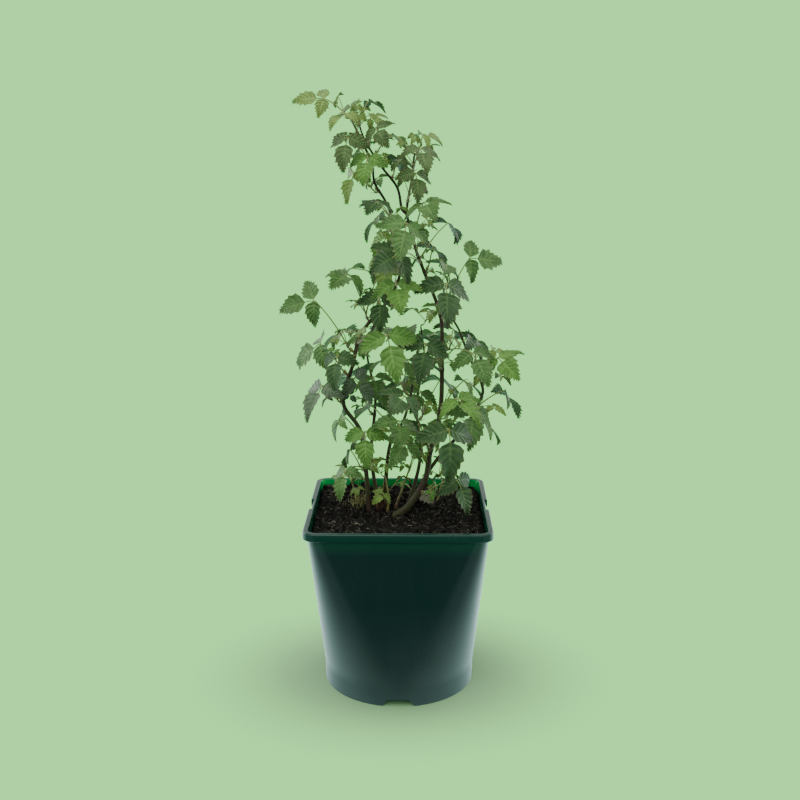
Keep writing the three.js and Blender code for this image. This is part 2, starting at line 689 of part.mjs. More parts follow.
// One try at a spray's first leaf, which keeps its place unless something is in the way
function tryFirst(spray, attempt, random, { node, shoot, junction }) {
  const loose = attempt === 0 ? 0 : SHIFT * (1 + SHIFT_GROWTH * attempt);
  junction.add(new THREE.Vector3(random(-1, 1), random(-1, 1), random(-1, 1)).multiplyScalar(loose));
  const turn = attempt === 0 ? 0 : random(-FIRST_TURN, FIRST_TURN);
  const sag = attempt === 0 ? 0 : random(-FIRST_TURN, FIRST_TURN);
  const lean = spray.lean * (Math.cos(spray.bearing) < 0 ? 1 : -1);
  const roll = random(-ROLL, ROLL) + lean;
  return makeLeaf(node, shoot, junction, spray.size, spray.droop + sag, roll, turn);
}

// One try at a later leaf, on either hand of the stem
function tryLater(spray, leafIndex, attempt, random, { node, shoot }) {
  const hand = (leafIndex + spray.index + Math.floor(attempt / TRIES_A_HAND)) % 2 ? 1 : -1;
  const bearing = spray.bearing + hand * LEAF_TURN + random(-AROUND, AROUND);
  const rise = Math.min(MOST_RISE, Math.max(spray.rise, LEAST_RISE) + random(0, MORE_RISE));
  const share = LATER_REACH - LATER_LOSS * leafIndex;
  const reach = Math.max(LEAST_REACH, spray.reach * share) * random(...REACH_RANGE);
  const junction = shoot.clone().add(onBearing(bearing, rise, reach));
  const turn = random(-LATER_TURN, LATER_TURN);
  const droop = spray.droop * random(...SAG_RANGE);
  const size = spray.size * (LATER_SIZE - LATER_LOSS * leafIndex);
  return makeLeaf(node, shoot, junction, size, droop, random(-ROLL, ROLL), turn);
}

// A spray's twig: its root on the stem, its end, and where its first leaf belongs
function placeTwig({ stem, ring, bearing, rise, reach }) {
  const junction = stem.path[ring].clone().add(onBearing(bearing, rise, reach));
  const node = rootOn(stem, ring, junction);
  const shoot = node.root.clone().addScaledVector(node.out, ROOT_STRAIGHT);
  shoot.add(onBearing(bearing, rise + TWIG_LIFT, Math.min(TWIG_LONGEST, TWIG_SHARE * reach)));
  return { node, shoot, junction };
}

function listSprays(stems) {
  const sprays = [];
  for (const [name, rows] of Object.entries(SPRAYS)) {
    rows.forEach(([height, bearing, rise, reach, size, leaves, droop, lean, tone], i) => {
      sprays.push({
        name: `${name}_spray_${i + 1}`,
        index: sprays.length,
        stem: stems[name],
        ring: freeRing(stems[name], height),
        bearing: radians(bearing),
        rise: radians(rise),
        reach,
        size,
        leaves,
        droop: radians(droop),
        lean: radians(lean),
        tone,
      });
    });
  }
  return sprays;
}

// Every spray's first leaf is placed before any spray's second
function growLeaves(sprays, stems) {
  const grown = [];
  const most = Math.max(...sprays.map((spray) => spray.leaves));
  for (let leafIndex = 0; leafIndex < most; leafIndex += 1) {
    for (const spray of sprays.filter((s) => leafIndex < s.leaves)) {
      const random = seedFor(spray.index, leafIndex);
      for (let attempt = 0; attempt < TRIES; attempt += 1) {
        const twig = placeTwig(spray);
        const leaf = leafIndex
          ? tryLater(spray, leafIndex, attempt, random, twig)
          : tryFirst(spray, attempt, random, twig);
        leaf.spray = spray;
        if (!touches(leaf, spray, grown, stems)) {
          grown.push(leaf);
          break;
        }
      }
    }
  }
  return grown;
}

function spread([start, end], count) {
  return Array.from({ length: count }, (_, i) => THREE.MathUtils.lerp(start, end, i / (count - 1)));
}

// A four-cornered section of a blade: left edge, top of the rib, right edge, underside of the rib
function bladeSection(leaflet, u) {
  const rib = leafletPoint(leaflet, u, 0);
  const half = LEAF_THICKNESS / 2;
  return [
    leafletPoint(leaflet, u, 1),
    rib.clone().addScaledVector(leaflet.face, half),
    leafletPoint(leaflet, u, -1),
    rib.clone().addScaledVector(leaflet.face, -half),
  ];
}

// A blade from the ring it grows out of to its tip
function addBlade(surface, root, leaflet) {
  let last = root;
  for (const u of LEAF_STATIONS) {
    const section = surface.ring(bladeSection(leaflet, u));
    surface.join(last, section);
    last = section;
  }
  surface.close(last, leafletPoint(leaflet, 1, 0));
}

// A leaf as one surface: a square stalk, two blades out of its sides at the junction, and one
// at its end. The spray's main leaf has the twig before its stalk.
function leafSolid({ curve, bearing, leaflets }, twig) {
  const [end, right, left] = leaflets;
  const joint = 1 - JOINT_LENGTH / curve.getLength();
  const path = [...twig];
  for (let k = 0; k <= STALK_SEGMENTS; k += 1) path.push(curve.getPoint((joint * k) / STALK_SEGMENTS));
  path.push(curve.getPoint(1), leafletPoint(end, STALK_END, 0));
  const count = path.length - twig.length;
  const radii = twig.length ? [...TWIG_RADII, ...spread(STALK_RADII, count)] : spread(LATER_RADII, count);
  const surface = makeSurface();
  const across = onBearing(bearing + Math.PI / 2, 0, 1);
  const rings = tubeRings(path, radii, 4, across, Math.PI / 4).map((ring) => surface.ring(ring));
  const before = rings.length - 3; // the joint lies between this ring and the next
  rings.slice(1).forEach((ring, i) => surface.join(rings[i], ring, i === before ? [1, 3] : []));
  surface.close(rings[0], undefined, true);
  addBlade(surface, rings[rings.length - 1], end);
  const [from, to] = [rings[before], rings[before + 1]];
  addBlade(surface, [from[3], from[0], to[0], to[3]], left);
  addBlade(surface, [to[2], to[1], from[1], from[2]], right);
  return solidFrom(surface.geometry());
}

// A spray: the twig leaves the stem square to it, and every stalk rises from the twig's end
function makeSpray(leaves) {
  const [main, ...others] = leaves;
  const twig = [main.root, main.root.clone().addScaledVector(main.out, ROOT_STRAIGHT)];
  let solid = leafSolid(main, twig);
  for (const leaf of others) solid = solid.add(leafSolid(leaf, []));
  return geometryFrom(solidFrom(merged(geometryFrom(solid), SLIVER)));
}

addPiece("pot", makePot(), { color: 0x0d3a2e, roughness: 0.5, metalness: 0 });
addPiece("soil", makeSoil(), { color: 0x1d1612, roughness: 1, metalness: 0 });
addPiece("root_crown", makeCrown(), { color: 0x6b4630, roughness: 0.9, metalness: 0 });

const stems = {};
for (const [name, row] of Object.entries(STEMS)) {
  stems[name] = traceStem(row, stems);
  const { path, widths, startTangent } = stems[name];
  addPiece(name, skin(tubeRings(path, widths, STEM_SIDES, row.fork ? UP : EAST, 0, startTangent)), BARK);
}

const sprays = listSprays(stems);
const grown = growLeaves(sprays, stems);
for (const spray of sprays) {
  const leaves = grown.filter((leaf) => leaf.spray === spray);
  if (leaves.length) addPiece(spray.name, makeSpray(leaves), TONES[spray.tone]);
}

export default bush;
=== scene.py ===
import functools
import json
import math

import bpy
import mathutils
import numpy as np
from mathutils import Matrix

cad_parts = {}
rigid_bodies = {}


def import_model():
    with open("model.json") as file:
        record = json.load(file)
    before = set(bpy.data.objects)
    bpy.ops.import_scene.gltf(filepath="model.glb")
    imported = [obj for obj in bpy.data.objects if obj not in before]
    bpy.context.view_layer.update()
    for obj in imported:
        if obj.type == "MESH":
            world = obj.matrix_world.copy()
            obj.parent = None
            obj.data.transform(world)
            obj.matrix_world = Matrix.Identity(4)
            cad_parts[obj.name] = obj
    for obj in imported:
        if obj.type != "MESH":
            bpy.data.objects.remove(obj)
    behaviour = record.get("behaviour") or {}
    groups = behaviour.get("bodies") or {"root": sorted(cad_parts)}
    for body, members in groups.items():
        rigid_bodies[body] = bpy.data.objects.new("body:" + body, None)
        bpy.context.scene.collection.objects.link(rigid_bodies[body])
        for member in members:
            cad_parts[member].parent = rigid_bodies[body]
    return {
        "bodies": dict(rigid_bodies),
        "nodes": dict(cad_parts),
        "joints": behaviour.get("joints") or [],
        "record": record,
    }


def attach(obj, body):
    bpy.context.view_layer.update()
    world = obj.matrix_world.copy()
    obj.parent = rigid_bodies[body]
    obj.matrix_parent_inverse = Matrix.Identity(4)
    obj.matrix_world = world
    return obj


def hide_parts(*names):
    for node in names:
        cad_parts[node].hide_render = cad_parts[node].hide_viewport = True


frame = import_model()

bl_info = {
    "name": "Potted Bramble Bush",
    "version": (1, 0, 0),
    "blender": (4, 5, 0),
    "location": "3D View > Sidebar > Bramble",
    "description": "Dresses a young bramble bush in its pot: pot, soil, stems, stalks and leaves",
    "category": "Add Mesh",
}

# The plant's rule works in millimetres; meshes are made in metres
MM = 0.001
UP = np.array([0.0, 0.0, 1.0])
EAST = np.array([1.0, 0.0, 0.0])
BODY = "root"
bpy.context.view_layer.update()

# Pot: square rim, round base
POT_HEIGHT = 188.0
RIM_HALF = 92.4
RIM_CORNER = 13.0
LIP_DEPTH = 8.0
LIP_WALL = 1.3
LIP_GAP = 32.0
BODY_HALF = 89.0
BODY_CORNER = 11.0
BASE_RADIUS = 78.6
FOOT_RADIUS = 78.1
FOOT_HEIGHT = 17.4
STEP_TOP = 22.0
WALL = 1.8
FOOT_WALL = 2.2
FLOOR_UNDERSIDE = 8.0
FLOOR_THICKNESS = 2.0
NOTCH_HALF_BOTTOM = 16.0
NOTCH_HALF_TOP = 11.0
NOTCH_HEIGHT = 7.5
DRAIN_RADIUS = 6.0
DRAIN_CIRCLE = 52.0
FLATS = 0.2

# Soil and the woody crown in it
SOIL_LEVEL = 177.0
SOIL_CLEARANCE = 0.3
FOOT = SOIL_LEVEL + SOIL_CLEARANCE
CROWN_CENTRE = (-20.0, 10.0)
CROWN_RADIUS = 6.2

# Stems: foot and tip radius, then the bends; a branch also names its stem and fork height
STEM_STEPS = 3
TAPER = 0.8
FLARE = 0.45
FLARE_LENGTH = 7.0
ROOT_GAP = 0.4
FORK_SWING = 4.0
FORK_RISE = np.array([0.0, 0.0, 5.0])
STEMS = {
    "left_stem": {
        "radii": (2.6, 1.0),
        "bends": [
            (-31, 10, FOOT), (-35, 12, 225), (-40, 10, 264), (-57, 4, 296), (-46, 3, 336), (-38, 6, 366),
            (-9, 10, 402), (3, 8, 440), (-10, 0, 490), (-23, -6, 514), (-27, -10, 536), (-46, -14, 576),
        ],
    },
    "right_stem": {
        "radii": (3.4, 1.0),
        "bends": [
            (-3, -6, FOOT), (10, -12, 190), (26, -15, 216), (32, -12, 250), (42, -4, 290), (43, 0, 350),
            (41, 2, 386), (25, 4, 428), (16, 2, 452), (8, -2, 486), (12, 0, 516), (15, 2, 542),
        ],
    },
    "outer_stem": {
        "radii": (2.4, 0.9),
        "bends": [
            (8, 12, FOOT), (34, 22, 222), (64, 14, 262), (82, 6, 296), (84, 5, 314), (70, 5, 344),
            (60, 5, 370), (47, 8, 392), (44, 14, 412),
        ],
    },
    "middle_stem": {
        "radii": (2.6, 0.9),
        "bends": [
            (-13, 20, FOOT), (-14, 21, 208), (-9, 12, 250), (5, 10, 276), (14, 14, 312), (18, 22, 344),
        ],
    },
    "back_stem": {
        "radii": (2.4, 0.9),
        "bends": [(-22, 27, FOOT), (-30, 42, 230), (-26, 58, 288), (-34, 56, 336), (-24, 48, 378)],
    },
    "rear_stem": {
        "radii": (2.2, 0.9),
        "bends": [(10, 27, FOOT), (22, 46, 226), (18, 62, 280), (26, 56, 328), (22, 44, 368)],
    },
    "top_branch": {
        "radii": (1.5, 0.8),
        "fork": ("right_stem", 486),
        "bends": [(-2, -6, 511), (-19, -8, 533), (-33, -4, 556), (-39, 2, 572)],
    },
}

# Sprays of leaves, stem by stem: height on the stem, bearing and rise of the first leaf's stalk
# in degrees, its reach, length of its end leaflet, leaves in the spray, droop and lean of the
# first leaf in degrees, tone
SPRAYS = {
    "left_stem": [
        (574, 188, 58, 28, 24, 1, -14, 25, "young"),
        (562, 240, 40, 26, 21, 1, 25, 10, "young"),
        (552, 245, 15, 35, 26, 1, 62, 0, "bronze"),
        (528, 255, 20, 37, 24, 2, 35, 0, "bright"),
        (506, 205, 35, 31, 24, 1, 70, 0, "young"),
        (478, 250, 30, 48, 22, 2, 10, 15, "dark"),
        (468, 160, 50, 34, 24, 1, 50, 0, "mid"),
        (450, 250, 30, 50, 26, 2, 45, 0, "bright"),
        (432, 250, 20, 58, 26, 2, 62, 0, "young"),
        (412, 265, 12, 68, 31, 2, 40, 0, "bright"),
        (374, 246, 50, 68, 28, 2, 4, 35, "mid"),
        (345, 176, 52, 67, 32, 1, 14, 38, "mid"),
        (358, 295, 15, 78, 37, 1, 60, 0, "bright"),
        (386, 270, 25, 45, 28, 1, 62, 0, "dark"),
        (346, 250, 20, 42, 27, 1, 55, 0, "dark"),
        (318, 160, 45, 44, 33, 2, 35, 20, "mid"),
        (296, 235, 35, 39, 32, 2, 45, 10, "grey"),
        (256, 275, 25, 58, 29, 2, 62, 0, "bright"),
        (222, 245, 10, 43, 25, 2, 50, 0, "mid"),
    ],
    "right_stem": [
        (260, 280, 20, 79, 40, 1, 66, 0, "dark"),
        (250, 250, 44, 103, 31, 1, 10, 25, "dark"),
        (240, 240, 35, 53, 26, 2, 25, 10, "mid"),
        (290, 280, 25, 58, 31, 2, 30, 10, "bright"),
        (322, 250, 35, 60, 32, 2, 60, 0, "dark"),
        (340, 308, 5, 46, 30, 2, 40, 0, "mid"),
        (392, 275, 38, 60, 37, 1, 50, 0, "dark"),
        (446, 260, 30, 72, 33, 1, 42, 0, "mid"),
        (458, 285, 40, 55, 31, 1, 14, 25, "mid"),
        (440, 255, 15, 76, 33, 2, 30, 10, "dark"),
        (430, 50, 60, 28, 27, 2, 35, 0, "bronze"),
        (486, 285, 45, 40, 24, 2, 50, 0, "bronze"),
        (524, 285, 38, 36, 26, 2, 35, 0, "bronze"),
        (538, 20, 65, 20, 20, 1, 15, 20, "young"),
        (206, 320, 25, 53, 29, 1, 60, 0, "dark"),
    ],
    "top_branch": [
        (566, 240, 60, 18, 19, 2, 20, 20, "mid"),
        (552, 280, 20, 32, 21, 1, 15, 15, "bronze"),
        (540, 45, 40, 30, 20, 2, 25, 10, "young"),
        (518, 80, 30, 39, 23, 2, 30, 0, "dark"),
    ],
    "outer_stem": [
        (286, 270, 20, 52, 34, 2, 48, 0, "mid"),
        (312, 300, 50, 42, 31, 1, 18, 35, "bright"),
        (336, 80, 30, 40, 30, 3, 20, 10, "mid"),
        (396, 15, 58, 49, 30, 2, 6, 35, "mid"),
        (256, 35, 10, 31, 27, 2, 40, 0, "bright"),
    ],
    "middle_stem": [
        (262, 270, 30, 52, 33, 2, 20, 15, "mid"),
        (300, 155, 50, 47, 30, 3, 30, 0, "mid"),
        (342, 65, 55, 22, 28, 3, 20, 0, "mid"),
    ],
    "back_stem": [
        (262, 130, 40, 60, 33, 3, 35, 0, "mid"),
        (342, 145, 35, 38, 32, 3, 30, 0, "mid"),
    ],
    "rear_stem": [
        (256, 50, 45, 56, 33, 3, 35, 0, "mid"),
        (334, 70, 40, 40, 32, 3, 25, 0, "bright"),
    ],
}

# The rule that places the leaves, in the same order and with the same draws as the part's source
SEED = 825
TRIES = 16
LEAF_TURN = math.radians(137.5)
TWIG_SHARE = 0.22
TWIG_LONGEST = 7.0
TWIG_LIFT = 0.2
STALK_BOW = 0.14
STALK_SAMPLE = 3.0
LEAFLET_BEND = 0.55
LEAFLET_FOLD = 0.2
END_BREADTH = 0.78
SIDE_BREADTH = 0.72
SIDE_SIZE = 0.84
SIDE_ANGLE = math.radians(76.0)
SIDE_DIP = 0.18
END_STALK = 0.28
SIDE_STALK = 0.03
FACE_OUT = 0.5
FACE_FRONT = 0.25
NEAR_MIDDLE = 30.0
OUTLINE_RISE = 0.55
OUTLINE_FALL = 0.85
SAMPLE_ALONG = np.array([0.08, 0.25, 0.42, 0.6, 0.78, 0.93, 1.0])
SAMPLE_ACROSS = np.array([-1.0, -0.5, 0.0, 0.5, 1.0])
SHIFT = 5.0
SHIFT_GROWTH = 0.12
FIRST_TURN = 0.35
ROLL = 0.25
TRIES_A_HAND = 6
AROUND = 0.4
LEAST_RISE = 0.1
MORE_RISE = 0.5
MOST_RISE = 1.2
LEAST_REACH = 22.0
LATER_REACH = 0.82
REACH_RANGE = (0.85, 1.1)
LATER_TURN = 0.3
SAG_RANGE = (0.5, 1.2)
LATER_SIZE = 0.94
LATER_LOSS = 0.08
SPRAY_STRIDE = 1009
LEAF_STRIDE = 211
WARM_UP = 3
MULTIPLIER = 16807
MODULUS = 2147483647

# Clearances the rule keeps
LEAF_CLEAR = 2.6
STALK_CLEAR = 2.2
STEM_CLEAR = 1.6
NEIGHBOUR_RANGE = 120.0
OWN_STEM_RANGE = 6.0
ROOT_STRAIGHT = 2.5
RIM_CLEAR_HEIGHT = POT_HEIGHT + 3.0
OVER_RIM = RIM_HALF - 16.4
BESIDE_RIM = RIM_HALF + 4.1
SOIL_CLEAR_HEIGHT = SOIL_LEVEL + 3.5
LOWEST_LEAF = POT_HEIGHT - 40.0
TOP_LIMIT = 600.0
CHORD = 0.96
TIP_MARGIN = 2.0
EDGE_MARGIN = 1.5


# Vectors, curves and random numbers


def unit(vectors):
    """The vectors over their lengths."""
    return vectors / np.linalg.norm(vectors, axis=-1, keepdims=True)


def dot(first, second):
    """The sum of the products of the coordinates, kept as a last axis of one."""
    return np.sum(first * second, axis=-1, keepdims=True)


def ramp(low, high, value):
    """0 below low, 1 above high, and 3 t^2 - 2 t^3 at share t between them."""
    share = np.clip((value - low) / (high - low), 0.0, 1.0)
    return share * share * (3.0 - 2.0 * share)


def full_turn(count):
    """So many angles, evenly round a full turn."""
    return np.arange(count) / count * 2 * math.pi


def random_from(seed):
    """Park-Miller random numbers: each is the last one times 16807, modulo 2^31 - 1."""
    state = seed

    def draw(low, high):
        """The next number, carried over to the range from low to high."""
        nonlocal state
        state = state * MULTIPLIER % MODULUS
        return low + (high - low) * state / MODULUS

    return draw


def seed_for(spray_index, leaf_index):
    """The stream of one leaf: the seed plus so many strides for its spray and its place there."""
    random = random_from(SEED + SPRAY_STRIDE * spray_index + LEAF_STRIDE * leaf_index)
    for _ in range(WARM_UP):
        random(0, 1)
    return random


def on_bearing(bearing, rise, length):
    """The vector (cos b cos r, sin b cos r, sin r) times its length, at bearing b and rise r."""
    level = math.cos(rise)
    return length * np.array([math.cos(bearing) * level, math.sin(bearing) * level, math.sin(rise)])


def spline(points, count):
    """count + 1 points of a uniform Catmull-Rom spline.

    Between points p1 and p2 at share t it is p1 + a t + (3 d - 2 a - b) t^2 + (a + b - 2 d) t^3,
    where d = p2 - p1 and a, b are half the steps over p1 and over p2; the end steps are mirrored.
    """
    points = np.asarray(points, dtype=float)
    padded = np.vstack([2 * points[0] - points[1], points, 2 * points[-1] - points[-2]])
    place = np.arange(count + 1) / count * (len(points) - 1)
    first = np.minimum(place.astype(int), len(points) - 2)
    t = (place - first)[:, None]
    before, start, end, after = (padded[first + k] for k in range(4))
    step, a, b = end - start, 0.5 * (end - before), 0.5 * (after - start)
    return start + a * t + (3 * step - 2 * a - b) * t**2 + (a + b - 2 * step) * t**3


def bowed(start, bow, end, shares):
    """Quadratic Bezier points: (1 - t)^2 start + 2 t (1 - t) bow + t^2 end."""
    t = np.asarray(shares)[:, None]
    return (1 - t) ** 2 * start + 2 * t * (1 - t) * bow + t**2 * end


# Stems


def stem_widths(radii, lengths, forked):
    """Radius along a stem: from the first to the second by the power 0.8 of the share of its
    length, widened at a foot by 1 + 0.45 e^(-length / 7)."""
    above = np.clip(lengths, 0.0, None)
    taper = radii[0] + (radii[1] - radii[0]) * (above / lengths[-1]) ** TAPER
    flare = 0.0 if forked else FLARE
    return taper * (1.0 + flare * np.exp(-above / FLARE_LENGTH))


def arc_lengths(path):
    """The running sum of the distances from point to point."""
    steps = np.linalg.norm(np.diff(path, axis=0), axis=1)
    return np.concatenate([[0.0], np.cumsum(steps)])


def trace_stem(row, traced):
    """A stem's ring points, radii and directions, as the part's source has them."""
    points = [np.array(bend, dtype=float) for bend in row["bends"]]
    fork = row.get("fork")
    if fork:
        parent = traced[fork[0]]
        start = root_on(parent, free_ring(parent, fork[1]), points[0])
        points = [start["root"], start["root"] + FORK_SWING * start["out"] + FORK_RISE] + points
    path = spline(points, (len(points) - 1) * STEM_STEPS)
    lengths = arc_lengths(path)
    last = len(path) - 1
    ends = [(min(i + 1, last), max(i - 1, 0)) for i in range(len(path))]
    directions = np.array([unit(path[after] - path[before]) for after, before in ends])
    widths = stem_widths(row["radii"], lengths, bool(fork))
    return {"points": points, "path": path, "lengths": lengths, "widths": widths,
            "directions": directions, "radii": row["radii"], "fork": bool(fork), "taken": []}


def free_ring(stem, height):
    """The ring nearest to a height that no other twig grows from; it is taken from then on."""
    nearest = 1
    for i in range(1, len(stem["path"])):
        if i in stem["taken"]:
            continue
        closer = abs(stem["path"][i][2] - height) < abs(stem["path"][nearest][2] - height)
        if closer or nearest in stem["taken"]:
            nearest = i
    stem["taken"].append(nearest)
    return nearest


def root_on(stem, ring, target):
    """Where a twig starts: a hair off the stem's surface, square to it, on the target's side."""
    node, along = stem["path"][ring], stem["directions"][ring]
    out = target - node
    out = unit(out - along * np.dot(out, along))
    return {"out": out, "node": node, "root": node + out * (stem["widths"][ring] + ROOT_GAP)}


# Leaves


def half_breadth(breadth, length, share):
    """Half a leaflet's breadth at a share u of its length: u^0.55 (1 - u)^0.85 over its highest
    value, times half the breadth."""
    peak = OUTLINE_RISE / (OUTLINE_RISE + OUTLINE_FALL)
    scale = peak**OUTLINE_RISE * (1 - peak) ** OUTLINE_FALL
    outline = share**OUTLINE_RISE * np.maximum(0.0, 1.0 - share) ** OUTLINE_FALL
    return 0.5 * breadth * length * outline / scale


def make_leaflet(base, forward, face, length, breadth):
    """A leaflet's frame, and points of its arched and folded blade to test it by.

    At share u of the length and v of the half breadth the blade is base + R sin(bu) forward
    + y cos(f) side + (|y| sin(f) - R (1 - cos(bu))) face, with R = length / b and y the offset.
    """
    side = np.cross(face, forward)
    u, v = (grid.ravel()[:, None] for grid in np.meshgrid(SAMPLE_ALONG, SAMPLE_ACROSS, indexing="ij"))
    radius = length / LEAFLET_BEND
    offset = half_breadth(breadth, length, u) * v
    lift = np.abs(offset) * math.sin(LEAFLET_FOLD) - radius * (1 - np.cos(LEAFLET_BEND * u))
    samples = base + radius * np.sin(LEAFLET_BEND * u) * forward
    samples = samples + offset * math.cos(LEAFLET_FOLD) * side + lift * face
    return {"base": base, "forward": forward, "side": side, "face": face, "length": length,
            "breadth": breadth, "samples": samples}


def make_leaf(node, shoot, junction, size, droop, roll, turn):
    """A leaf on its stalk: the end leaflet points the way the stalk runs, turned, drooped and
    rolled; the side leaflets leave the junction at 76 degrees."""
    reach = junction - shoot
    length = np.linalg.norm(reach)
    bow = shoot + 0.5 * reach + STALK_BOW * length * UP
    bearing = math.atan2(reach[1], reach[0])
    forward = on_bearing(bearing + turn, -droop, 1.0)
    outward = junction * (1.0, 1.0, 0.0)
    outward = outward / max(np.linalg.norm(outward), NEAR_MIDDLE)
    level = UP + FACE_OUT * outward - (0.0, FACE_FRONT, 0.0)
    level = unit(level - forward * np.dot(level, forward))
    face = math.cos(roll) * level + math.sin(roll) * np.cross(level, forward)
    side = np.cross(face, forward)
    leaflets = [make_leaflet(junction + END_STALK * size * forward, forward, face, size, END_BREADTH)]
    for hand in (-1, 1):
        away = math.cos(SIDE_ANGLE) * forward + hand * math.sin(SIDE_ANGLE) * side - SIDE_DIP * face
        away = unit(away)
        side_face = unit(face - away * np.dot(face, away))
        base = junction + SIDE_STALK * size * away
        leaflets.append(make_leaflet(base, away, side_face, SIDE_SIZE * size, SIDE_BREADTH))
    steps = max(3, int(length / STALK_SAMPLE))
    samples = bowed(shoot, bow, junction, np.arange(steps + 1) / steps)
    root, out = node["root"], node["out"]
    samples = np.vstack([samples, root, root + ROOT_STRAIGHT * out])
    blades = np.vstack([leaflet["samples"] for leaflet in leaflets])
    return {"node": node, "shoot": shoot, "bow": bow, "junction": junction, "bearing": bearing,
            "size": size, "leaflets": leaflets, "samples": samples, "blades": blades}


def stacked(leaflets):
    """The leaflets' frames and sizes, each as one array."""
    keys = ("base", "forward", "side", "face", "length", "breadth")
    return [np.array([leaflet[key] for leaflet in leaflets]) for key in keys]


def near_blades(leaflets, points, clearance):
    """Whether any point lies within the clearance of the blade z = |y| tan(f) - b x^2 / (2 length),
    in any leaflet's own frame."""
    if not leaflets or not len(points):
        return False
    base, *axes, length, breadth = stacked(leaflets)
    offset = points[None] - base[:, None]
    x, y, z = (np.einsum("lpk,lk->lp", offset, axis) for axis in axes)
    y, length, breadth = np.abs(y), length[:, None], breadth[:, None]
    chord = length * CHORD
    inside = (x >= -TIP_MARGIN) & (x <= chord + TIP_MARGIN)
    inside &= y <= half_breadth(breadth, length, np.clip(x / chord, 0.0, 1.0)) + EDGE_MARGIN
    surface = -x * x * LEAFLET_BEND / (2 * length) + y * math.tan(LEAFLET_FOLD)
    return bool(np.any(inside & (np.abs(z - surface) < clearance)))


def near_stem(stem, points, clearance):
    """Whether any point is nearer to a stem's stretches than their radius plus the clearance."""
    start, step = stem["path"][:-1], np.diff(stem["path"], axis=0)
    offset = points[:, None] - start[None]
    share = np.sum(offset * step, axis=-1) / np.sum(step * step, axis=-1)
    nearest = offset - np.clip(share, 0.0, 1.0)[..., None] * step
    distance = np.linalg.norm(nearest, axis=-1)
    return bool(np.any(distance < stem["widths"][:-1] + clearance))


def leaves_space(points):
    """Whether any point is over the bush's top, in the soil or in the rim."""
    far = np.max(np.abs(points[:, :2]), axis=1)
    floor = np.where(far > OVER_RIM, RIM_CLEAR_HEIGHT, SOIL_CLEAR_HEIGHT)
    z = points[:, 2]
    return bool(np.any((z > TOP_LIMIT) | ((z < floor) & (far < BESIDE_RIM)) | (z < LOWEST_LEAF)))


def touches(leaf, spray, grown, stems):
    """Whether the leaf would leave its space, or touch a stem or another leaf."""
    if leaves_space(leaf["blades"]):
        return True
    from_root = np.linalg.norm(leaf["samples"] - leaf["node"]["root"], axis=1)
    for stem in stems.values():
        stalk = leaf["samples"][from_root > OWN_STEM_RANGE] if stem is spray["stem"] else leaf["samples"]
        if near_stem(stem, leaf["blades"], STEM_CLEAR):
            return True
        if len(stalk) and near_stem(stem, stalk, STEM_CLEAR):
            return True
    near = [other for other in grown
            if np.linalg.norm(other["junction"] - leaf["junction"]) <= NEIGHBOUR_RANGE]
    if not near:
        return False
    others = [other["samples"] for other in near if other["spray"] is not spray]
    if others:
        between = np.vstack(others)[:, None] - leaf["samples"][None]
        if np.any(np.sum(between * between, axis=-1) < STALK_CLEAR**2):
            return True
    leaflets = [leaflet for other in near for leaflet in other["leaflets"]]
    stalks = np.vstack([other["samples"] for other in near])
    blades = np.vstack([other["blades"] for other in near])
    return (near_blades(leaflets, leaf["samples"], STALK_CLEAR)
            or near_blades(leaflets, leaf["blades"], LEAF_CLEAR)
            or near_blades(leaf["leaflets"], stalks, STALK_CLEAR)
            or near_blades(leaf["leaflets"], blades, LEAF_CLEAR))


def try_first(spray, attempt, random, twig):
    """One try at a spray's first leaf, which keeps its place unless something is in the way."""
    loose = SHIFT * (1 + SHIFT_GROWTH * attempt) if attempt else 0.0
    shift = np.array([random(-1, 1) for _ in range(3)])
    turn = random(-FIRST_TURN, FIRST_TURN) if attempt else 0.0
    sag = random(-FIRST_TURN, FIRST_TURN) if attempt else 0.0
    lean = spray["lean"] * (1 if math.cos(spray["bearing"]) < 0 else -1)
    roll = random(-ROLL, ROLL) + lean
    junction = twig["junction"] + loose * shift
    droop = spray["droop"] + sag
    return make_leaf(twig["node"], twig["shoot"], junction, spray["size"], droop, roll, turn)


def try_later(spray, leaf_index, attempt, random, twig):
    """One try at a later leaf, on either hand of the stem."""
    hand = 1 if (leaf_index + spray["index"] + attempt // TRIES_A_HAND) % 2 else -1
    bearing = spray["bearing"] + hand * LEAF_TURN + random(-AROUND, AROUND)
    rise = min(MOST_RISE, max(spray["rise"], LEAST_RISE) + random(0, MORE_RISE))
    share = LATER_REACH - LATER_LOSS * leaf_index
    reach = max(LEAST_REACH, spray["reach"] * share) * random(*REACH_RANGE)
    junction = twig["shoot"] + on_bearing(bearing, rise, reach)
    turn = random(-LATER_TURN, LATER_TURN)
    droop = spray["droop"] * random(*SAG_RANGE)
    size = spray["size"] * (LATER_SIZE - LATER_LOSS * leaf_index)
    return make_leaf(twig["node"], twig["shoot"], junction, size, droop, random(-ROLL, ROLL), turn)


def place_twig(spray):
    """A spray's twig: its root on the stem, its end, and where its first leaf belongs."""
    bearing, rise, reach = spray["bearing"], spray["rise"], spray["reach"]
    junction = spray["stem"]["path"][spray["ring"]] + on_bearing(bearing, rise, reach)
    node = root_on(spray["stem"], spray["ring"], junction)
    length = min(TWIG_LONGEST, TWIG_SHARE * reach)
    shoot = node["root"] + ROOT_STRAIGHT * node["out"] + on_bearing(bearing, rise + TWIG_LIFT, length)
    return {"node": node, "shoot": shoot, "junction": junction}


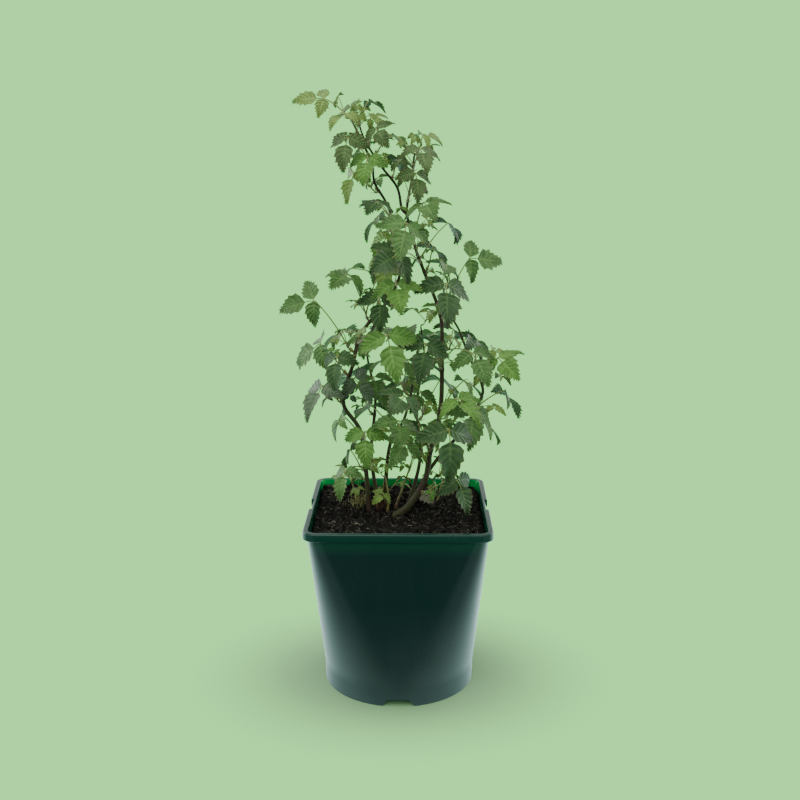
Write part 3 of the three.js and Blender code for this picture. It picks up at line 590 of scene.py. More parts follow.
def list_sprays(stems):
    """The rows of the table as sprays, each on its own ring of its stem."""
    sprays = []
    for name, rows in SPRAYS.items():
        for number, row in enumerate(rows, start=1):
            height, bearing, rise, reach, size, leaves, droop, lean, tone = row
            sprays.append({
                "name": f"{name}_spray_{number}", "index": len(sprays), "stem": stems[name],
                "ring": free_ring(stems[name], height), "bearing": math.radians(bearing),
                "rise": math.radians(rise), "reach": reach, "size": size, "leaves": leaves,
                "droop": math.radians(droop), "lean": math.radians(lean), "tone": tone,
            })
    return sprays


def grow_leaves(sprays, stems):
    """Every spray's first leaf is placed before any spray's second."""
    grown = []
    for leaf_index in range(max(spray["leaves"] for spray in sprays)):
        for spray in sprays:
            if leaf_index >= spray["leaves"]:
                continue
            random = seed_for(spray["index"], leaf_index)
            twig = place_twig(spray)
            for attempt in range(TRIES):
                if leaf_index:
                    leaf = try_later(spray, leaf_index, attempt, random, twig)
                else:
                    leaf = try_first(spray, attempt, random, twig)
                if not touches(leaf, spray, grown, stems):
                    leaf["spray"] = spray
                    leaf["later"] = leaf_index > 0
                    grown.append(leaf)
                    break
    return grown


# Surfaces from arrays


def join(parts):
    """One part from many: their points, quads, triangles and values one after another."""
    starts = np.concatenate([[0], np.cumsum([len(part["points"]) for part in parts])[:-1]])
    whole = {"points": np.vstack([part["points"] for part in parts])}
    for kind in ("quads", "triangles"):
        whole[kind] = np.vstack([part[kind] + start for part, start in zip(parts, starts)])
    whole["values"] = {key: np.concatenate([part["values"][key] for part in parts])
                       for key in parts[0]["values"]}
    return whole


def grid_quads(rows, columns):
    """Corners of the quads between neighbouring rows and columns of a grid that is numbered row by
    row and whose last column meets its first."""
    i = np.arange(rows - 1)[:, None] * columns
    j = np.arange(columns)[None]
    k = (j + 1) % columns
    return np.stack([i + j, i + k, i + columns + k, i + columns + j], axis=-1).reshape(-1, 4)


def end_fans(rows, columns):
    """Triangles that close a tube numbered row by row, from its first and last rows to the two
    points that come after all rows."""
    k = np.arange(columns)
    following = (k + 1) % columns
    low, last = rows * columns, (rows - 1) * columns
    return np.vstack([np.stack([np.full(columns, low), following, k], axis=-1),
                      np.stack([np.full(columns, low + 1), last + k, last + following], axis=-1)])


def repeated(faces, count, step):
    """The same faces for count copies whose points are step apart."""
    return (faces[None] + step * np.arange(count)[:, None, None]).reshape(-1, faces.shape[1])


def tubes(paths, radii, across, sides, values):
    """Closed tubes: a ring point is path + r (cos t first + sin t second) for sides angles t, where
    first is the across direction made square to the path and second = tangent x first; each end
    is closed by a fan to the path's end.

    paths is (tubes, rings, 3), radii (tubes, rings) or (tubes, rings, sides), across (tubes, 3)
    or (1, 3) for all, and each of the values (tubes, rings).
    """
    count, rings = paths.shape[:2]
    tangents = unit(np.gradient(paths, axis=1))
    across = np.broadcast_to(across[:, None], paths.shape)
    first = unit(across - tangents * dot(across, tangents))
    second = np.cross(tangents, first)
    angles = full_turn(sides)
    radii = radii[..., None] if radii.ndim == 2 else radii
    walls = paths[:, :, None] + (radii * np.cos(angles))[..., None] * first[:, :, None]
    walls = walls + (radii * np.sin(angles))[..., None] * second[:, :, None]
    points = np.concatenate([walls.reshape(count, -1, 3), paths[:, :1], paths[:, -1:]], axis=1)
    step = points.shape[1]
    spread = {}
    for key, value in values.items():
        value = np.broadcast_to(value, (count, rings))
        ends = [value[:, :1], value[:, -1:]]
        spread[key] = np.hstack([np.repeat(value, sides, axis=1), *ends]).ravel()
    return {"points": points.reshape(-1, 3), "values": spread,
            "quads": repeated(grid_quads(rings, sides), count, step),
            "triangles": repeated(end_fans(rings, sides), count, step)}


def make_piece(name, part, materials):
    """An object at the origin from a part in millimetres: its values u and v become the UV map,
    the others point attributes, and its slots say which material each face has."""
    mesh = bpy.data.meshes.new(name)
    quads, triangles = part["quads"], part["triangles"]
    loops = np.concatenate([quads.ravel(), triangles.ravel()]).astype(np.int32)
    starts = np.concatenate([4 * np.arange(len(quads)), 4 * len(quads) + 3 * np.arange(len(triangles))])
    mesh.vertices.add(len(part["points"]))
    mesh.vertices.foreach_set("co", (part["points"] * MM).astype(np.float32).ravel())
    mesh.loops.add(len(loops))
    mesh.loops.foreach_set("vertex_index", loops)
    mesh.polygons.add(len(starts))
    mesh.polygons.foreach_set("loop_start", starts.astype(np.int32))
    for material in materials:
        mesh.materials.append(material)
    if "slots" in part:
        mesh.polygons.foreach_set("material_index", part["slots"].astype(np.int32))
    values = dict(part["values"])
    if "u" in values:
        layer = mesh.uv_layers.new(name="UVMap")
        places = np.stack([values.pop("u"), values.pop("v")], axis=-1)[loops]
        layer.data.foreach_set("uv", places.astype(np.float32).ravel())
    for key, value in values.items():
        attribute = mesh.attributes.new(key, "FLOAT", "POINT")
        attribute.data.foreach_set("value", value.astype(np.float32))
    mesh.update(calc_edges=True)
    mesh.shade_smooth()
    piece = bpy.data.objects.new(name, mesh)
    bpy.context.scene.collection.objects.link(piece)
    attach(piece, BODY)
    return piece


# Blades: a leaflet's rows run from rim to rim over the midrib

ACROSS = np.array([-1.0, 0.0, 1.0])
ROWS_A_TOOTH = 2
VEIN_SWEEP = 0.22
BROADEST = 0.98
TIP_NARROWING = 0.42
LOPSIDED = 0.06
TOOTH = np.array([0.85, 0.12])
TOOTH_LEAN = 0.5
TEETH_BEGIN = (0.03, 0.2)
TEETH_SHRINK = (0.85, 1.0)
FOLD = LEAFLET_FOLD + 0.2
FOLD_SPREAD = 0.2
RISE = 0.75
PLEAT_HEIGHT = 0.013
WAVE_HEIGHT = 0.04
MIDRIB_HOLLOW = 0.012
TIP_DROOP = 0.05
TWIST = 0.45
BEND_SHARE = 0.85
BEND_SPREAD = 0.45
TIP_POINT = 1.06
THICKNESS = 0.2
THICKNESS_GROWTH = 0.004
MIDRIB_THICKNESS = 0.3
RIM_ANGLE = math.radians(100.0)


def blade_faces(rows, columns):
    """Quads and triangles of one closed leaflet, and slots that are 0 for its faces above and 1 for
    those below: a grid above and one below that share the rim columns, and a pole at either end."""
    top = np.arange(rows * columns).reshape(rows, columns)
    base, tip, below = rows * columns, rows * columns + 1, rows * columns + 2
    inner = below + np.arange(rows * (columns - 2)).reshape(rows, columns - 2)
    under = np.hstack([top[:, :1], inner, top[:, -1:]])
    quads, triangles = [], []
    for grid, turned in ((top, False), (under, True)):
        corners = [grid[:-1, :-1], grid[1:, :-1], grid[1:, 1:], grid[:-1, 1:]]
        quads.append(np.stack(corners[::-1] if turned else corners, axis=-1).reshape(-1, 4))
        near, far = grid[0], grid[-1]
        for pole, one, other in ((base, near[:-1], near[1:]), (tip, far[1:], far[:-1])):
            pair = (other, one) if turned else (one, other)
            triangles.append(np.stack([np.full(columns - 1, pole), *pair], axis=-1))
    quads, triangles = np.vstack(quads), np.vstack(triangles)
    return quads, triangles, [np.repeat([0, 1], len(faces) // 2) for faces in (quads, triangles)]


def blades(leaflets, teeth, depth, shade, rng):
    """Toothed, folded and pleated leaflets, all worked out at once.

    The row from share s of the midrib ends at share m = s + 0.22 sin(pi s) of the rim, as a side
    vein does: with a = 0 at the midrib and 1 at the rim, x = length (s + (m - s) a) and y = a h(m),
    where h is the half breadth. The rim is moved out square to the outline by a saw of teeth. The
    blade rises by |y| sin(fold), by pleats sin^2(pi teeth s) and by a slow wave, and sinks along
    the midrib and at the tip. It is rolled by twist x and bent into an arc of length / bend.
    The value rib grows by one from side vein to side vein; u and v are the place on the blade.
    """
    count = len(leaflets)
    *frame, length, breadth = (values[:, None, None] for values in stacked(leaflets))
    rows = teeth * ROWS_A_TOOTH - 1
    s = (np.arange(1, rows + 1) / (rows + 1))[None, :, None]
    v = ACROSS[None, None]
    a, hand = np.abs(v), np.sign(v)
    lopsided, toothed, waved, shifted, folded, twisted, bent, _ = rng.uniform(-1, 1, (8, count, 1, 1))
    m = s + VEIN_SWEEP * np.sin(math.pi * s)
    half = half_breadth(breadth, length, m) * BROADEST * (1.0 - m) ** TIP_NARROWING
    half = half * (1 + LOPSIDED * lopsided * hand)
    slope = np.gradient(half, s.ravel(), axis=1)
    run = length * (1 + VEIN_SWEEP * math.pi * np.cos(math.pi * s))
    size = np.sqrt(slope**2 + run**2)
    saw = np.resize(TOOTH, rows + 1)[1:][None, :, None] * depth * (1 + 0.2 * toothed) * length
    saw = saw * ramp(*TEETH_BEGIN, s) * (1 - 0.6 * ramp(*TEETH_SHRINK, s))
    saw = saw * (1 + 0.25 * rng.uniform(-1, 1, (count, rows, 1))) * a
    x = length * (s + (m - s) * a) + saw * (TOOTH_LEAN * run - slope) / size
    y = hand * (a * half + saw * (run + TOOTH_LEAN * slope) / size)
    phase = np.sin(math.pi * teeth * s) ** 2
    pleat = PLEAT_HEIGHT * length * (phase - 0.5) * a * ramp(0.0, 0.15, s) * (1 - 0.4 * s)
    wave = WAVE_HEIGHT * length * waved * np.sin(2 * math.pi * (1.3 * s + 0.2 * hand * shifted)) * a
    fold = FOLD + FOLD_SPREAD * folded
    lift = np.abs(y) * np.sin(fold) * RISE + pleat + wave
    lift = lift - MIDRIB_HOLLOW * length * (1 - a) - TIP_DROOP * length * a * ramp(0.7, 1.0, s)
    level = y * np.cos(fold)
    twist = TWIST * twisted * x / length
    cosine, sine = np.cos(twist), np.sin(twist)
    level, lift = level * cosine - lift * sine, level * sine + lift * cosine
    bend = LEAFLET_BEND * (BEND_SHARE + BEND_SPREAD * bent)
    above, normal = arched(frame, length, bend, x, level, lift)
    thick = THICKNESS + THICKNESS_GROWTH * length + MIDRIB_THICKNESS * (1 - 0.7 * s)
    below = above[:, :, 1:-1] - thick[..., None] * normal[:, :, 1:-1]
    flat = np.zeros((1, 2, 1))
    ends, _ = arched(frame, length, bend, length * np.array([[[0.0], [TIP_POINT]]]), flat, flat)
    points = np.concatenate([grid.reshape(count, -1, 3) for grid in (above, ends, below)], axis=1)
    values = {}
    for key, grid, poles in (("rib", teeth * s, (0.0, teeth)), ("u", 0.5 + 0.5 * v, (0.5, 0.5)),
                             ("v", x / length, (0.0, 1.0))):
        grid, poles = np.broadcast_to(grid, above.shape[:3]), np.broadcast_to(poles, (count, 2))
        inner = grid[:, :, 1:-1].reshape(count, -1)
        values[key] = np.hstack([grid.reshape(count, -1), poles, inner]).ravel()
    step = points.shape[1]
    values["shade"] = np.repeat(shade, step)
    quads, triangles, slots = blade_faces(rows, v.size)
    return {"points": points.reshape(-1, 3), "values": values, "quads": repeated(quads, count, step),
            "triangles": repeated(triangles, count, step),
            "slots": np.concatenate([np.tile(each, count) for each in slots])}


def arched(frame, length, bend, x, level, lift):
    """Points base + (R sin t + l sin t) forward + (l cos t - R (1 - cos t)) face + level side, with
    R = length / bend, t = x / R and l the lift; and the direction sin t forward + cos t face."""
    base, forward, side, face = frame
    radius = length / bend
    turn = x / radius
    normal = np.sin(turn)[..., None] * forward + np.cos(turn)[..., None] * face
    points = base + (radius * np.sin(turn))[..., None] * forward
    points = points - (radius * (1 - np.cos(turn)))[..., None] * face
    return points + level[..., None] * side + lift[..., None] * normal, normal


# Wood and stalks

STEM_SIDES = 18
STEM_RING = 1.3
STEM_TIP = (0.9, 0.7, 0.35)
BURIED = np.array([7.0, 4.2, 2.1])
INTO_STEM = 2.4
RIBS = 5
RIB_TURN = 0.012
RIPPLE_LENGTHS = (3.1, 7.7, 19.0)
ROUGH_SHARE = 0.8
NODE_SWELL = 0.2
NODE_LENGTH = 2.4
STALK_RINGS = 13
STALK_SIDES = 5
STALK_RADIUS = 0.62
STALK_GROWTH = 0.009
STALK_TAPER = 0.36
YOUNG_STALK = 0.75
INTO_TWIG = 0.8
BEFORE_JUNCTION = 0.4
UNDER_END = 0.06
UNDER_SIDE = 0.07
TWIG_SWELL = 0.55
STALK_SWELL = 0.25
SWELL_LENGTH = 0.09
GROOVE_DEPTH = 0.2
GROOVE_WIDTH = 0.6
SHORT_RADII = np.array([0.64, 0.6, 0.3])
SHORT_ALONG = np.array([[0.9, 0.95, 1.0]])
BUD_RINGS = 7
BUD_SIDES = 6
BUD_LENGTH = 4.0
STIPULE_RADIUS = 0.42


def evenly(points, count):
    """count points at even shares of the length of the line through the points."""
    points = np.asarray(points)
    lengths = arc_lengths(points)
    places = np.linspace(0.0, lengths[-1], count)
    return np.stack([np.interp(places, lengths, points[:, k]) for k in range(3)], axis=-1)


def ripple(values, turns, rng):
    """A slow uneven wave from -1 to 1 along the values: three sines of unrelated lengths, each with
    its own random phase for every turn."""
    total = 0.0
    for length in RIPPLE_LENGTHS:
        phase = rng.uniform(0, 2 * math.pi, turns)
        total = total + np.sin(values[:, None] / length + phase)
    return total / len(RIPPLE_LENGTHS)


def stem_part(stem, relief, rng):
    """A stem with its bark's relief: the source's radius times 1 + relief cos(5 t + 0.012 length)
    for its ribs, swollen by a bell curve at every ring that a twig grows from, and roughened."""
    points = stem["points"]
    fine = spline(points, 400)
    lengths = arc_lengths(fine)
    count = int(lengths[-1] / STEM_RING)
    path = evenly(fine, count)
    along = np.linspace(0.0, lengths[-1], count)
    if stem["fork"]:
        parent = points[0] - INTO_STEM * unit(points[1] - points[0])
        path = np.vstack([parent, 0.5 * (parent + points[0]), path])
        along = np.concatenate([[-INTO_STEM, -0.5 * INTO_STEM], along])
    else:
        path = np.vstack([path[0] - BURIED[:, None] * UP, path])
        along = np.concatenate([-BURIED, along])
    widths = stem_widths(stem["radii"], along, stem["fork"])
    nodes = stem["lengths"][np.array(stem["taken"], int)]
    swell = np.exp(-(((along[:, None] - nodes) / NODE_LENGTH) ** 2)).sum(axis=1)
    widths = widths * (1 + NODE_SWELL * np.minimum(swell, 1.0))
    widths[-len(STEM_TIP):] *= STEM_TIP
    angles = full_turn(STEM_SIDES)
    ribs = relief * np.cos(RIBS * angles + RIB_TURN * along[:, None])
    rough = ROUGH_SHARE * relief * ripple(along, STEM_SIDES, rng)
    radii = widths[:, None] * (1 + ribs + rough)
    across = (UP if stem["fork"] else EAST)[None]
    return tubes(path[None], radii[None], across, STEM_SIDES, {"along": along[None] / lengths[-1]})


def leaf_stalk(leaf):
    """Points at even steps along a leaf's stalk, from inside the stem through its twig and its
    bow to a little way under the end blade."""
    node, shoot, end = leaf["node"], leaf["shoot"], leaf["leaflets"][0]
    if leaf["later"]:
        head = [shoot - INTO_TWIG * unit(shoot - node["root"])]
    else:
        head = [node["node"], node["root"], node["root"] + 0.6 * ROOT_STRAIGHT * node["out"]]
    arc = bowed(shoot, leaf["bow"], leaf["junction"], np.linspace(0.0, 1.0, 12))
    tail = [end["base"], end["base"] + UNDER_END * end["length"] * end["forward"]]
    return evenly(spline(np.vstack([head, arc, tail]), 120), STALK_RINGS)


def stalk_part(leaves, scale):
    """Grooved stalks: 0.62 + 0.009 of the leaf's size is the radius at the root, which falls to
    64 % of it, swells at the root and is hollowed by a fifth along the top. Each side leaflet has
    a short plain stalk from the junction on."""
    paths = np.array([leaf_stalk(leaf) for leaf in leaves])
    shares = np.linspace(0.0, 1.0, STALK_RINGS)
    thick = np.array([STALK_RADIUS + STALK_GROWTH * leaf["size"] for leaf in leaves])[:, None] * scale
    first = np.array([0.0 if leaf["later"] else 1.0 for leaf in leaves])[:, None]
    swell = (STALK_SWELL + TWIG_SWELL * first) * np.exp(-((shares / SWELL_LENGTH) ** 2))
    radii = thick * (1.0 - STALK_TAPER * shares**1.5) * (1.0 + swell)
    angles = full_turn(STALK_SIDES)
    groove = 1 - GROOVE_DEPTH * np.exp(-(((angles - 0.5 * math.pi) / GROOVE_WIDTH) ** 2))
    across = np.array([on_bearing(leaf["bearing"] + 0.5 * math.pi, 0.0, 1.0) for leaf in leaves])
    long = tubes(paths, radii[..., None] * groove, across, STALK_SIDES, {"along": shares[None]})
    way = np.linspace(0.0, 1.0, len(SHORT_RADII))[:, None]
    paths, radii, across = [], [], []
    for leaf, radius in zip(leaves, thick[:, 0]):
        for leaflet in leaf["leaflets"][1:]:
            base = leaflet["base"] + UNDER_SIDE * leaflet["length"] * leaflet["forward"]
            start = leaf["junction"] - BEFORE_JUNCTION * leaflet["forward"]
            paths.append(start + way * (base - start))
            radii.append(radius * SHORT_RADII)
            across.append(leaflet["side"])
    paths, radii, across = (np.array(values) for values in (paths, radii, across))
    return join([long, tubes(paths, radii, across, STALK_SIDES, {"along": SHORT_ALONG})])


def bud_part(leaves, rng):
    """Buds in the leaves' axils, and a pair of narrow stipules by each stalk's root. At share s of
    its 4 mm a bud's radius is that of sin(pi (0.12 + 0.86 s))^0.8; a stipule curves out and up and
    narrows as (1 - s)^0.6."""
    s = np.linspace(0.0, 1.0, BUD_RINGS)
    way = s[:, None]
    paths, radii, across = [], [], []
    for leaf in leaves:
        if leaf["later"]:
            continue
        out, root = leaf["node"]["out"], leaf["node"]["root"]
        side = unit(np.cross(UP, out) + 1e-6 * EAST)
        grow = rng.uniform(0.8, 1.25)
        lean = unit(0.8 * UP + 0.6 * out)
        start = root + 0.2 * out + 0.8 * UP
        paths.append(start + BUD_LENGTH * grow * way * lean + 0.8 * way * way * UP)
        radii.append(grow * np.sin(math.pi * (0.12 + 0.86 * s)) ** 0.8)
        for hand in (-1, 1):
            start = root + 1.2 * out + 0.5 * hand * side
            spread = unit(out + 0.75 * hand * side + rng.uniform(0.2, 0.6) * UP)
            length = rng.uniform(4.5, 7.0)
            paths.append(start + length * way * spread + 0.22 * length * way * way * UP)
            radii.append(STIPULE_RADIUS * (1 - s) ** 0.6 + 0.05)
        across.extend([side] * 3)
    along = np.linspace(0.3, 0.9, BUD_RINGS)[None]
    return tubes(np.array(paths), np.array(radii), np.array(across), BUD_SIDES, {"along": along})


# Pot

CORNER_ANGLES = np.radians([0, 4, 8.11, 11.83, 16, 21, 26, 31, 36, 40.5, 45])
SIDE_SHARES = np.array([0.0, 0.1, 0.2013, 0.2065, 0.45, 0.72])
OUTSIDE_ROWS = np.array([0.0, 0.7, 8.6, 12.0, 16.9, FOOT_HEIGHT, STEP_TOP, 28.0, 40.0, 55.0, 70.0,
                         100.0, 130.0, 155.0, 172.0, 180.0, 184.5])
INSIDE_ROWS = np.array([POT_HEIGHT - 0.05, POT_HEIGHT - 0.7, 184.0, 172.0, 150.0, 120.0, 80.0, 40.0,
                        STEP_TOP, FOOT_HEIGHT, FLOOR_UNDERSIDE + FLOOR_THICKNESS])
FOOT_ROWS = np.array([FLOOR_UNDERSIDE + 0.6, 0.7, 0.0])
INNER_EDGE = 0.7
LOWEST_ROWS = 1.0
GAP_MARGIN = 0.1
GAP_BEAD = 0.5
GAP_DEPTH = 2.2
FLOOR_SIDES = 32
FLOOR_RINGS = 4
POT_ANGLE = math.radians(38.0)


def outline(half, corner):
    """A rounded square turning left from the middle of its right side, as (x, y) points.

    Each straight runs to half - corner; each corner is a quarter circle of the corner's radius.
    The arguments may be arrays with one value for each ring; the result is (rings, columns, 2).
    """
    half, corner = (np.atleast_1d(np.asarray(value, dtype=float))[:, None] for value in (half, corner))
    angles = np.concatenate([CORNER_ANGLES, (0.5 * math.pi - CORNER_ANGLES)[-2::-1]])
    flat = half - corner
    rise = flat * SIDE_SHARES
    right = [(half + 0 * rise, rise), (flat + corner * np.cos(angles), flat + corner * np.sin(angles)),
             (rise[:, :0:-1], half + 0 * rise[:, :0:-1])]
    x, y = (np.hstack([part[k] + np.zeros_like(part[0]) for part in right]) for k in (0, 1))
    turns = [(x, y), (-y, x), (-x, -y), (y, -x)]
    return np.stack([np.hstack([turn[k] for turn in turns]) for k in (0, 1)], axis=-1)


def body_sizes(inset, z):
    """Half width and corner radius of the body at a height: they run straight from the round base
    over the foot to the square top, and are those of a circle below."""
    z = np.asarray(z, dtype=float)
    share = np.maximum(0.0, (z - STEP_TOP) / (POT_HEIGHT - STEP_TOP))
    half = BASE_RADIUS + (BODY_HALF - BASE_RADIUS) * share
    corner = BASE_RADIUS - FLATS + (BODY_CORNER - BASE_RADIUS + FLATS) * share
    half = np.where(z <= FOOT_HEIGHT, FOOT_RADIUS, half)
    corner = np.where(z <= FOOT_HEIGHT, FOOT_RADIUS - FLATS, corner)
    return half - inset, corner - inset


def pot_profile():
    """The wall's closed section as rows of half width, corner radius and height, up the outside,
    under and round the lip, down the inside and under the foot; and which rows are the lip's."""

    def body(inset, heights):
        """Rows on the body's own wall."""
        return list(zip(*body_sizes(inset, heights), heights))

    top, under, bottom = POT_HEIGHT, POT_HEIGHT - LIP_WALL, POT_HEIGHT - LIP_DEPTH
    inside = RIM_HALF - LIP_WALL
    lip = [(BODY_HALF + 0.2, under), (inside - 0.5, under), (inside, under - 0.5),
           (inside, bottom + 0.4), (inside + 0.4, bottom), (RIM_HALF - 0.4, bottom),
           (RIM_HALF, bottom + 0.4), (RIM_HALF, top - 1.5), (RIM_HALF - 0.2, top - 0.7),
           (RIM_HALF - 0.7, top - 0.2), (RIM_HALF - 1.5, top)]
    lip = [(half, half - (RIM_HALF - RIM_CORNER), z) for half, z in lip]
    outer, inner = body(0.0, OUTSIDE_ROWS), body(WALL, INSIDE_ROWS)
    inner[0] = (inner[0][0] + INNER_EDGE, inner[0][1] + INNER_EDGE, top)
    rows = np.array(outer + lip + inner + body(FOOT_WALL, FOOT_ROWS))
    return rows, slice(len(outer), len(outer) + len(lip))


def pot_wall():
    """The wall: the section's rows carried round the outline. In the lip's two gaps its rows are
    drawn back to the body, and over the foot's four notches the lowest rows are lifted."""
    rows, lip = pot_profile()
    places = outline(rows[:, 0], rows[:, 1])
    x, y = places[..., 0], places[..., 1]
    z = np.broadcast_to(rows[:, 2:3], x.shape).copy()
    near, far = np.sort(np.abs(places[0]), axis=-1).T
    from_axis = np.degrees(np.arctan2(near, far))
    top, bottom = np.degrees(np.arcsin(np.array([NOTCH_HALF_TOP, NOTCH_HALF_BOTTOM]) / FOOT_RADIUS))
    notch = NOTCH_HEIGHT * np.clip((bottom - from_axis) / (bottom - top), 0.0, 1.0)
    z = np.where(z < LOWEST_ROWS, z + notch, z)
    gap = np.zeros(x.shape, bool)
    gap[lip] = (np.abs(x[lip]) > BODY_HALF - 1.0) & (np.abs(y[lip]) <= 0.5 * LIP_GAP + GAP_MARGIN)
    way = np.linspace(0.0, 1.0, lip.stop - lip.start)[:, None]
    bead = BODY_HALF + GAP_BEAD * np.sin(math.pi * way)
    x[lip] = np.where(gap[lip], np.sign(x[lip]) * bead, x[lip])
    z[lip] = np.where(gap[lip], POT_HEIGHT - GAP_DEPTH * (1 - way), z[lip])
    points = np.stack([x, y, z], axis=-1)
    quads = grid_quads(len(rows) + 1, x.shape[1]) % x.size
    row = np.broadcast_to(np.arange(len(rows))[:, None], x.shape)
    values = {"rim": (row >= lip.start) & (row <= lip.stop) & ~gap, "inside": row > lip.stop}
    return {"points": points.reshape(-1, 3), "quads": quads, "triangles": np.zeros((0, 3), int),
            "values": {key: value.astype(float).ravel() for key, value in values.items()}}


def pot_floor():
    """The floor: between 8 and 10 mm up, a disc of four quarters. In each of them a drain hole is
    ringed by rows that pass from its circle to the quarter's own outline."""
    radius = FOOT_RADIUS - 1.0
    share = np.linspace(0.0, 1.0, FLOOR_RINGS)[:, None, None]
    parts = []
    for quarter in range(4):
        start = quarter * 0.5 * math.pi
        middle = start + 0.25 * math.pi
        centre = DRAIN_CIRCLE * np.array([math.cos(middle), math.sin(middle)])
        angles = middle + full_turn(FLOOR_SIDES)
        hole = centre + DRAIN_RADIUS * np.stack([np.cos(angles), np.sin(angles)], axis=-1)
        rings = hole + share * (sector_edge(centre, angles, start, radius) - hole)
        low, high = (np.concatenate([rings, np.full(rings.shape[:2] + (1,), z)], axis=-1)
                     for z in (FLOOR_UNDERSIDE, FLOOR_UNDERSIDE + FLOOR_THICKNESS))
        points = np.concatenate([high, low[::-1]]).reshape(-1, 3)
        quads = grid_quads(2 * FLOOR_RINGS + 1, FLOOR_SIDES) % len(points)
        blank = np.zeros(len(points))
        parts.append({"points": points, "quads": quads[:, ::-1], "triangles": np.zeros((0, 3), int),
                      "values": {"rim": blank, "inside": blank}})
    return join(parts)


def sector_edge(centre, angles, start, radius):
    """Where rays from a point in a quarter disc meet its outline: the nearest of the two straight
    sides and the arc, each met at its own distance along the ray."""
    rays = np.stack([np.cos(angles), np.sin(angles)], axis=-1)
    sides = [np.array([-math.sin(start), math.cos(start)]), np.array([math.cos(start), math.sin(start)])]
    reach = []
    for normal in sides:
        toward = rays @ normal
        distance = -(centre @ normal) / np.where(toward < -1e-9, toward, -1e-9)
        reach.append(np.where(distance > 0, distance, np.inf))
    along = rays @ centre
    reach.append(-along + np.sqrt(along**2 - centre @ centre + radius**2))
    return centre + np.min(reach, axis=0)[:, None] * rays


# Soil and root crown

SOIL_HALF, SOIL_CORNER = body_sizes(WALL + SOIL_CLEARANCE, SOIL_LEVEL)
SOIL_BUMP = 2.2
SOIL_WAVES = (9.0, 13.0, 8.0, 21.0)
SOIL_MIDDLE = 0.6
SOIL_EDGE = 0.97
SOIL_ROUNDED = 3.0
SOIL_RINGS = (FLOOR_UNDERSIDE + FLOOR_THICKNESS + SOIL_CLEARANCE, FOOT_HEIGHT, STEP_TOP, 100.0, 168.0)
SOIL_ROWS = 92
SOIL_FINER = 3
HEAP = 5.0
HEAP_BACK = (22.0, 82.0)
HEAP_LEFT = (40.0, -60.0)
CRUMBLE = 0.9
CRUMBLE_WAVES = 40
CRUMBLE_LENGTHS = (2.0, 14.0)
CROWN_ROWS = 40
CROWN_COLUMNS = 56
CROWN_HEIGHTS = np.array([-6.0, 0.0, 5.0, 14.0, 18.4, 19.6, 19.0])
CROWN_SHARES = np.array([1.25, 1.05, 0.88, 0.82, 0.66, 0.44, 0.02])
CROWN_LOBES = 0.09
CROWN_FOLDS = 0.05
CROWN_KNOBS = 9
KNOB_HEIGHT = 0.14
KNOB_WIDTH = 0.3
KNOB_LENGTH = 2.2
MOSS_PLACE = (-41.0, 32.0)
MOSS_SPREAD = (6.5, 8.0)
MOSS_BLADES = 420
FALLEN_PLACE = (21.0, 36.0)
FALLEN_LIFT = 5.5
FALLEN_FORWARD = np.array([0.62, -0.75, -0.12])
FALLEN_FACE = np.array([-0.1, -0.55, 0.83])
FALLEN_LENGTH = 23.0
FALLEN_BREADTH = 0.62


def body_ring(inset, z):
    """The body's outline at one height, as (columns, 3) points."""
    places = outline(*body_sizes(inset, z))[0]
    return np.column_stack([places, np.full(len(places), z)])


def crumble(x, y, rng):
    """Fine roughness: the sum of 40 sines in random directions with wave lengths of 2 to 14 mm,
    each as high as the root of its length, over the root of their number."""
    angles = rng.uniform(0, math.pi, CRUMBLE_WAVES)
    lengths = rng.uniform(*CRUMBLE_LENGTHS, CRUMBLE_WAVES)
    phases = rng.uniform(0, 2 * math.pi, CRUMBLE_WAVES)
    along = x[..., None] * np.cos(angles) + y[..., None] * np.sin(angles)
    waves = np.sqrt(lengths) * np.sin(2 * math.pi * along / lengths + phases)
    return np.sum(waves, axis=-1) / CRUMBLE_WAVES**0.5


def soil_height(x, y, seed):
    """The source's low waves, which die out towards the level middle, plus fine roughness and a
    heap of 5 mm that rises towards the back, most of all on the left."""
    out = np.maximum(abs(x), abs(y)) / SOIL_HALF
    share = np.clip((out - SOIL_MIDDLE) / (SOIL_EDGE - SOIL_MIDDLE), 0.0, 1.0)
    first, bend, second, slant = SOIL_WAVES
    waves = np.sin(x / first + np.sin(y / bend)) + np.sin(y / second - x / slant)
    fine = crumble(x, y, np.random.default_rng(seed))
    heap = HEAP * ramp(*HEAP_BACK, y) * (0.45 + 0.55 * ramp(*HEAP_LEFT, x))
    return SOIL_LEVEL + 0.5 * SOIL_BUMP * share * waves + CRUMBLE * fine + heap


